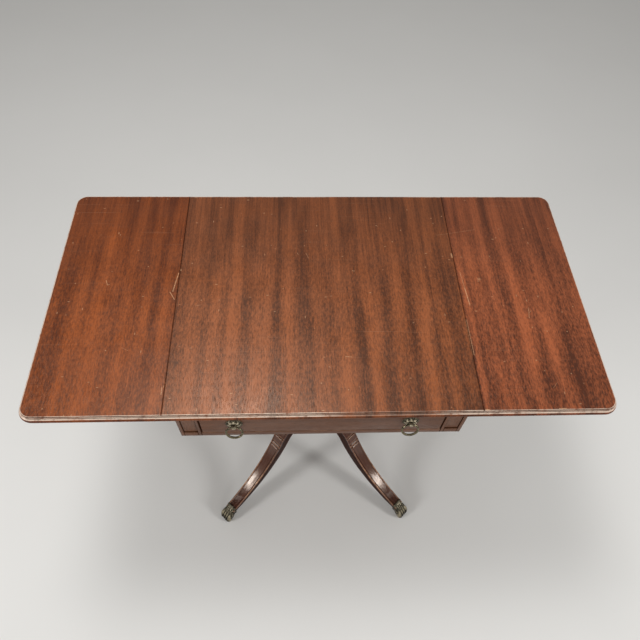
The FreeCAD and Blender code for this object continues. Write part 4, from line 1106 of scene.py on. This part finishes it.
@dataclass
class Drawer:
    """The drawer with its two pulls."""

    bench: Bench
    gap_shade_from: float = 0.2137

    def joint_gap_shade(self, face: BMFace, arris: bool) -> Point:
        """Wear and painted shade of the drawer front: painted shade in strips beside its upright joints and
        on its top and bottom faces.

        Args:
            face: A face of the front.
            arris: Whether it is an eased arris.

        Returns:
            The two shares.
        """
        # Painted shade of the gaps at the ends, and on the top and bottom faces; rubbed arrises elsewhere.
        if abs(face.calc_center_median().x) > self.gap_shade_from:
            return 0.0, 0.85
        return (0.8, 0.0) if arris else (0.0, 0.5 * (abs(face.normal.z) > 0.5))

    def build(self) -> None:
        """Make every piece of the drawer."""
        self.bench.soften("drawer_front", APRON, 0.0005, handling=self.joint_gap_shade,
                          splits=(-self.gap_shade_from, self.gap_shade_from))
        for side in SIDES:
            self.bench.soften(f"drawer_side_{side}", INNER_ALONG_Y, 0.0004, 1)
            Pull(self.bench, side).build()
        self.bench.soften("drawer_back", INNER_ALONG_X, 0.0004, 1)
        self.bench.soften("drawer_bottom", INNER_ALONG_X, 0.0003, 1)
        self.bench.dress(HINGE_BRASS, "pull_nuts")


@dataclass
class Apron:
    """The frame under the top and its swinging brackets."""

    bench: Bench
    outer: float = 0.2535
    shade_strips: tuple[Point, ...] = ((0.2150, 0.2174), (0.2221, 0.2233), (0.2467, 0.2479))

    def sunk(self, face: BMFace, arris: bool) -> Point:
        """Wear and painted shade of a stile: painted shade in strips along its joint and the edges of its
        sunk field, and on its faces that turn away from the front, such as the walls of its sunk field.

        Args:
            face: A face of the stile.
            arris: Whether it is an eased arris.

        Returns:
            The two shares.
        """
        middle = abs(face.calc_center_median().x)
        # Painted shade in the strips and on the turned faces; rubbed arrises elsewhere.
        if any(low < middle < high for low, high in self.shade_strips):
            return 0.0, 0.8
        return (0.6, 0.0) if arris else (0.0, 0.85 * (abs(face.normal.y) < 0.5 and middle < self.outer))

    def build(self) -> None:
        """Make every piece of the frame."""
        bench = self.bench
        for side in SIDES:
            sign = 1 if side == "right" else -1
            splits = [sign * place for strip in self.shade_strips for place in strip]
            bench.soften(f"front_stile_{side}", APRON_UPRIGHT, 0.0004, handling=self.sunk, splits=splits)
            for piece, width in (("side_filler", 0.0005), ("fly_rail", 0.0005), ("fly_bracket", 0.0006)):
                bench.soften(f"{piece}_{side}", APRON_SIDE, width)
            for piece in ("side_rail", "drawer_runner"):
                bench.soften(f"{piece}_{side}", INNER_ALONG_Y, 0.0004, 1)
        for node in ("front_top_rail", "front_bottom_rail", "back_rail"):
            bench.soften(node, APRON, 0.0006)
        for node in ("drawer_kickers", "drawer_stops", "glue_blocks"):
            bench.soften(node, INNER_ALONG_X, 0.0004, 1)
        bench.dress(STEEL, "top_screws", "fly_pins")


@dataclass
class TableTop:
    """Centre board, two leaves and the hinges of the rule joints."""

    bench: Bench
    boards: dict[str, str] = field(default_factory=lambda: {
        "centre_board": "centre", "leaf_board_left": "left", "leaf_board_right": "right"})
    surface: float = 0.686
    lip_foot: float = -0.0025
    bead_top: float = -0.0045
    bead_foot: float = -0.0165
    clearance: float = 0.0001
    ledge_slope: float = 0.7
    rubbed_and_lit_slopes: Point = (0.62, 0.93)
    seam: float = 0.2665
    seam_strip: float = 0.002
    lip_strip: float = 0.0011
    widest_strip: float = 0.002

    def moulding(self, face: BMFace, arris: bool) -> Point:
        """Wear, painted light and dirt of a board: rubbed lip; rubbed ledge and a band round the bead that
        are partly wear and partly painted highlight; painted shade in the quirks, under the bead and below
        the moulding; dirt along the seams.

        Args:
            face: A face of the board.
            arris: Whether it is an eased arris.

        Returns:
            The two shares.
        """
        middle = face.calc_center_median()
        level, up = middle.z - self.surface, face.normal.z
        if abs(abs(middle.x) - self.seam) < self.seam_strip:
            return 0.0, 0.85 if arris else 0.35
        if level > self.lip_foot * 0.3:
            return 0.8 * (arris or face.calc_area() < self.widest_strip), 0.0
        # Below the lip, painted shade fills the quirks and lies on the fillet, under the bead and below the
        # moulding; the ledge and a band round the bead are rubbed and carry a painted highlight.
        if level > self.lip_foot + self.clearance:
            return 0.0, 0.85
        if level > self.bead_top + self.clearance:
            return (0.7, 0.0) if up > self.ledge_slope else (0.0, 0.9)
        if level > self.bead_foot:
            steep, flat = self.rubbed_and_lit_slopes
            return 0.9 * (steep < up < flat), 0.85 if up > flat else 0.35 * (up < 0.5)
        return 0.0, 0.7

    def build(self) -> None:
        """Make every piece of the top."""
        bench = self.bench
        for node, board in self.boards.items():
            bench.soften(node, TOP_FINISHES[board], 0.0004, 2, 30, self.moulding, border=self.lip_strip)
        for side in SIDES:
            plates = [f"hinge_{kind}_{side}_{row}"
                      for row in ("front", "rear") for kind in ("fixed", "moving")]
            bench.dress(HINGE_BRASS, *plates, f"hinge_screws_leaf_{side}")
        bench.dress(HINGE_BRASS, "hinge_pins", "hinge_screws_top")


@dataclass(frozen=True)
class Lamp:
    """A soft lamp that points at the table."""

    name: str
    place: Place
    width: float
    height: float
    power: float
    aim: Place = (0.0, 0.0, 0.45)

    def build(self) -> None:
        """Hang the lamp."""
        data = bpy.data.lights.new(self.name, "AREA")
        data.shape, data.size, data.size_y, data.energy = "RECTANGLE", self.width, self.height, self.power
        lamp = bpy.data.objects.new(self.name, data)
        lamp.location = self.place
        lamp.rotation_euler = (Vector(self.aim) - Vector(self.place)).to_track_quat("-Z", "Y").to_euler()
        bpy.context.scene.collection.objects.link(lamp)


@dataclass
class Studio:
    """Pale floor, soft lamps, even surroundings and the camera of the photograph."""

    lamps: tuple[Lamp, ...] = (
        Lamp("key", (-0.34, 0.30, 2.70), 0.7, 0.7, 24.0),
        Lamp("left_window", (-2.32, -1.15, 1.46), 0.45, 0.8, 26.0),
        Lamp("right_window", (2.32, -1.15, 1.50), 0.45, 0.8, 26.0),
        Lamp("front_window", (0.2, -3.00, 1.80), 0.8, 0.8, 10.0),
    )
    floor_reach: float = 9.0
    around: float = 0.34
    daylight: Colour = (1.0, 0.985, 0.965, 1.0)
    backdrop: Colour = display(164, 162, 158)
    camera_place: Place = (-0.0457, -0.6455, 1.5622)
    camera_right: Place = (0.99910, -0.02952, 0.03040)
    camera_up: Place = (0.00781, 0.83345, 0.55255)
    focal_pixels: float = 577.0
    picture_pixels: float = 640
    sensor: float = 36.0
    sight: Point = (0.05, 60.0)

    def floor(self) -> None:
        """Lay the floor."""
        shape = bmesh.new()
        bmesh.ops.create_grid(shape, x_segments=1, y_segments=1, size=self.floor_reach)
        floor = to_piece("studio_floor", shape)
        floor.data.materials.append(PlainFloor("pale_floor", display(226, 225, 222)).build())

    def surroundings(self) -> None:
        """Even light from all round, with a pale backdrop for the camera and for reflections."""
        world = bpy.data.worlds.new("studio")
        bpy.context.scene.world = world
        world.use_nodes = True
        graph = Graph(world.node_tree)
        rays = graph.node("ShaderNodeLightPath").outputs
        seen = graph.math("MAXIMUM", rays["Is Camera Ray"],
                          graph.math("MAXIMUM", rays["Is Glossy Ray"], rays["Is Transmission Ray"]))
        light = graph.node("ShaderNodeBackground", {0: self.daylight, 1: self.around})
        pale = graph.node("ShaderNodeBackground", {0: self.backdrop, 1: 1.0})
        both = graph.node("ShaderNodeMixShader", {0: seen, 1: light.outputs[0], 2: pale.outputs[0]})
        graph.node("ShaderNodeOutputWorld", {0: both.outputs[0]})

    def camera(self) -> None:
        """Set up the camera where the photograph was taken from."""
        data = bpy.data.cameras.new("camera")
        data.sensor_width = self.sensor
        data.lens = self.sensor * self.focal_pixels / self.picture_pixels
        data.clip_start, data.clip_end = self.sight
        camera = bpy.data.objects.new("camera", data)
        right, up = Vector(self.camera_right), Vector(self.camera_up)
        turn = Matrix((right, up, right.cross(up))).transposed().to_4x4()
        camera.matrix_world = Matrix.Translation(self.camera_place) @ turn
        bpy.context.scene.collection.objects.link(camera)
        bpy.context.scene.camera = camera

    def build(self) -> None:
        """Set up the studio."""
        self.floor()
        self.surroundings()
        for lamp in self.lamps:
            lamp.build()
        self.camera()
        bpy.context.scene.view_settings.view_transform = "Standard"


# Ribbons of each board: place across in mm, tone, and lean in mm where it isn't straight.
RIBBONS = {
    "left": (
        (-490, 0.35), (-474, 0.12), (-447, 0.62, 3), (-428, 0.45), (-402, 0.86, -4), (-372, 0.36, 2),
        (-355, 0.76), (-334, 0.34, -2), (-320, 0.58, 3), (-303, 0.25, -3), (-286, 0.74), (-272, 0.42)),
    "centre": (
        (-264, 0.34), (-252, 0.46), (-233, 0.78), (-222, 0.84), (-210, 0.50), (-197, 0.85), (-180, 0.42),
        (-161, 1.00, -3), (-138, 0.26, -2), (-114, 0.82), (-99, 0.68), (-83, 0.08, -3), (-60, 0.80, -2),
        (-29, 0.12, 3), (-9, 0.62, -2), (4, 0.46, 2), (20, 0.34, 2), (40, 0.72, 4), (56, 0.46, 2),
        (72, 0.06, 5), (90, 0.92, 3), (118, 0.14, 6), (142, 0.76, -3), (166, 0.20, -3), (191, 0.95, -3),
        (209, 0.42, 4), (223, 0.70, 3), (243, 0.24, 2), (258, 0.40)),
    "right": (
        (268, 0.20), (278, 0.78), (288, 0.32), (309, 0.76, 4), (321, 0.46, 3), (333, 0.80), (352, 0.28, 2),
        (371, 1.00, -2), (395, 0.24, -3), (420, 0.82, 2), (449, 0.10), (465, 0.55, 3), (486, 0.60)),
}
# Marks on each board: both ends and the width in mm, the strength, and True for a dark one.
SCARS = {
    "left": (
        ((-268.7, 45), (-275, 2), 1.2, 0.8), ((-280, 0), (-270, -17), 0.9, 0.8),
        ((-271, -198), (-271, -211), 1.2, 0.7), ((-402, 28), (-398, 17), 0.8, 0.7),
        ((-398, 17), (-394, 19), 0.7, 0.6), ((-350, -120), (-338, -126), 0.5, 0.35)),
    "centre": (
        ((-265.6, 54), (-265.2, 51), 1.6, 0.7), ((-252.5, -152), (-252, -152), 5.5, 0.75, True),
        ((-245.6, 69), (-245, 69), 1.3, 0.7), ((-187.5, -19), (-187, -19), 1.2, 0.6),
        ((207.5, 57), (208, 57), 1.2, 0.6), ((-42, 94), (-40, 90), 0.7, 0.5),
        ((-25, 94), (-20, 80), 0.6, 0.5), ((2.5, -143), (4, -143), 1.0, 0.6),
        ((41, -142), (51, -143), 0.8, 0.7), ((11, -162), (13, -163), 0.9, 0.5),
        ((-230, -32), (-222, -30), 0.7, 0.4),
        ((264.4, 90), (264.6, 82), 2.4, 0.7), ((266, -67), (266.4, -142), 0.8, 0.6),
        ((242, 140), (266, 144), 0.5, 0.35)),
    "right": (
        ((273.8, 44), (277, 5), 0.8, 0.55), ((277, 5), (280, -34), 1.1, 0.85),
        ((308, 27), (309, 27), 4.5, 0.35), ((326, -15), (326.5, -15), 1.2, 0.6),
        ((377.5, -154), (378, -154), 1.3, 0.6),
        ((387.5, -175), (388, -175), 1.3, 0.6), ((390, -41), (386, -64), 0.8, 0.6),
        ((393, -48), (388, -53), 0.7, 0.5), ((395, -208), (404, -198), 0.5, 0.4),
        ((268, -67), (269, -142), 0.9, 0.6), ((270, -247), (276, -248), 1.6, 0.9),
        ((395, -247), (407, -247), 1.2, 0.8), ((444, -249), (452, -249), 1.2, 0.7),
        ((266, 144), (323, 155), 0.5, 0.35)),
}
TOP_TONES = {
    "left": (display(80, 33, 11), display(152, 77, 33)),
    "centre": (display(78, 40, 22), display(154, 86, 48)),
    "right": (display(77, 37, 22), display(168, 91, 55)),
}
# Pale rubbed colour of the top boards, also their painted highlight on the ledge and the bead.
TOP_RUBBED_AND_LIT = display(220, 197, 178)
TOP_FINISHES = {
    board: RibbonMahogany(
        f"ribbon_mahogany_{board}", *tones, TOP_RUBBED_AND_LIT, Grain.ALONG_Y, gloss=0.33, wear=2.1, pores=0.45,
        ribbons=tuple(Ribbon(*row) for row in RIBBONS[board]),
        scars=tuple(Mark(*row) for row in SCARS[board]))
    for board, tones in TOP_TONES.items()
}
APRON_TONES = (display(76, 45, 30), display(118, 76, 51), display(152, 116, 92))
APRON = Mahogany("apron_mahogany_lengthwise", *APRON_TONES, Grain.ALONG_X, gloss=0.36, shine=0.24)
APRON_SIDE = Mahogany("apron_mahogany_sides", *APRON_TONES, Grain.ALONG_Y, gloss=0.36, shine=0.24)
APRON_UPRIGHT = Mahogany("apron_mahogany_upright", *APRON_TONES, Grain.ALONG_Z, gloss=0.36, shine=0.22)
BEARER = Mahogany("bearer_mahogany", *APRON_TONES, Grain.ALONG_Y, gloss=0.45)
# The third tone is rubbed wear; on the legs it is also the painted highlight of the beads and the cut lips.
POLISHED_TONES = (display(52, 27, 20), display(98, 52, 36), display(176, 130, 98))
POLISHED = Mahogany("polished_mahogany_legs", *POLISHED_TONES, Grain.FLOW, gloss=0.17, shine=0.55, coat=0.3,
                    wear=1.6, pores=0.3)
POLISHED_TURNED = Mahogany("polished_mahogany_column", *POLISHED_TONES, Grain.ALONG_Z, gloss=0.26, shine=0.6,
                           coat=0.3, wear=0.4, pores=0.3)
INNER_ALONG_X, INNER_ALONG_Y = (
    Mahogany(f"inner_wood_{way}", display(146, 112, 76), display(184, 150, 108), display(200, 170, 130),
             grain, gloss=0.6, shine=0.3, wear=0.3, pores=0.3)
    for way, grain in (("crosswise", Grain.ALONG_X), ("lengthwise", Grain.ALONG_Y)))
AGED_BRASS, LIGHTENED_ROSETTE_BRASS, CAST_TOE, HINGE_BRASS, STEEL = (
    Metal(name, display(*skin), display(*rubbed), *rest) for name, skin, rubbed, *rest in (
        ("aged_brass_pulls", (40, 36, 27), (168, 156, 124), 0.24, 0.28, 260.0),
        # The rosettes take a lighter copy of the pull brass, lifted to make up for the shade under the top:
        # painted light on top of their rubbed high places.
        ("rubbed_brass_rosettes", (64, 58, 45), (230, 216, 186), 0.26, 0.36, 260.0),
        ("aged_brass_toes", (42, 39, 31), (170, 159, 134), 0.30, 0.20, 320.0, 0.6),
        ("hinge_brass_dull", (104, 84, 48), (188, 160, 96), 0.36, 0.5, 120.0),
        ("dull_steel", (92, 90, 86), (168, 167, 163), 0.36, 0.5, 140.0)))


def main() -> None:
    """Dress the table and set up the studio."""
    logging.basicConfig(level=logging.INFO, format="%(name)s: %(message)s")
    bench = Bench(frame)
    for assembly in (TableTop, Apron, Drawer, Pedestal):
        LOG.info("sub-assembly %s", assembly.__name__)
        assembly(bench).build()
    Studio().build()


if __name__ == "__main__":
    main()
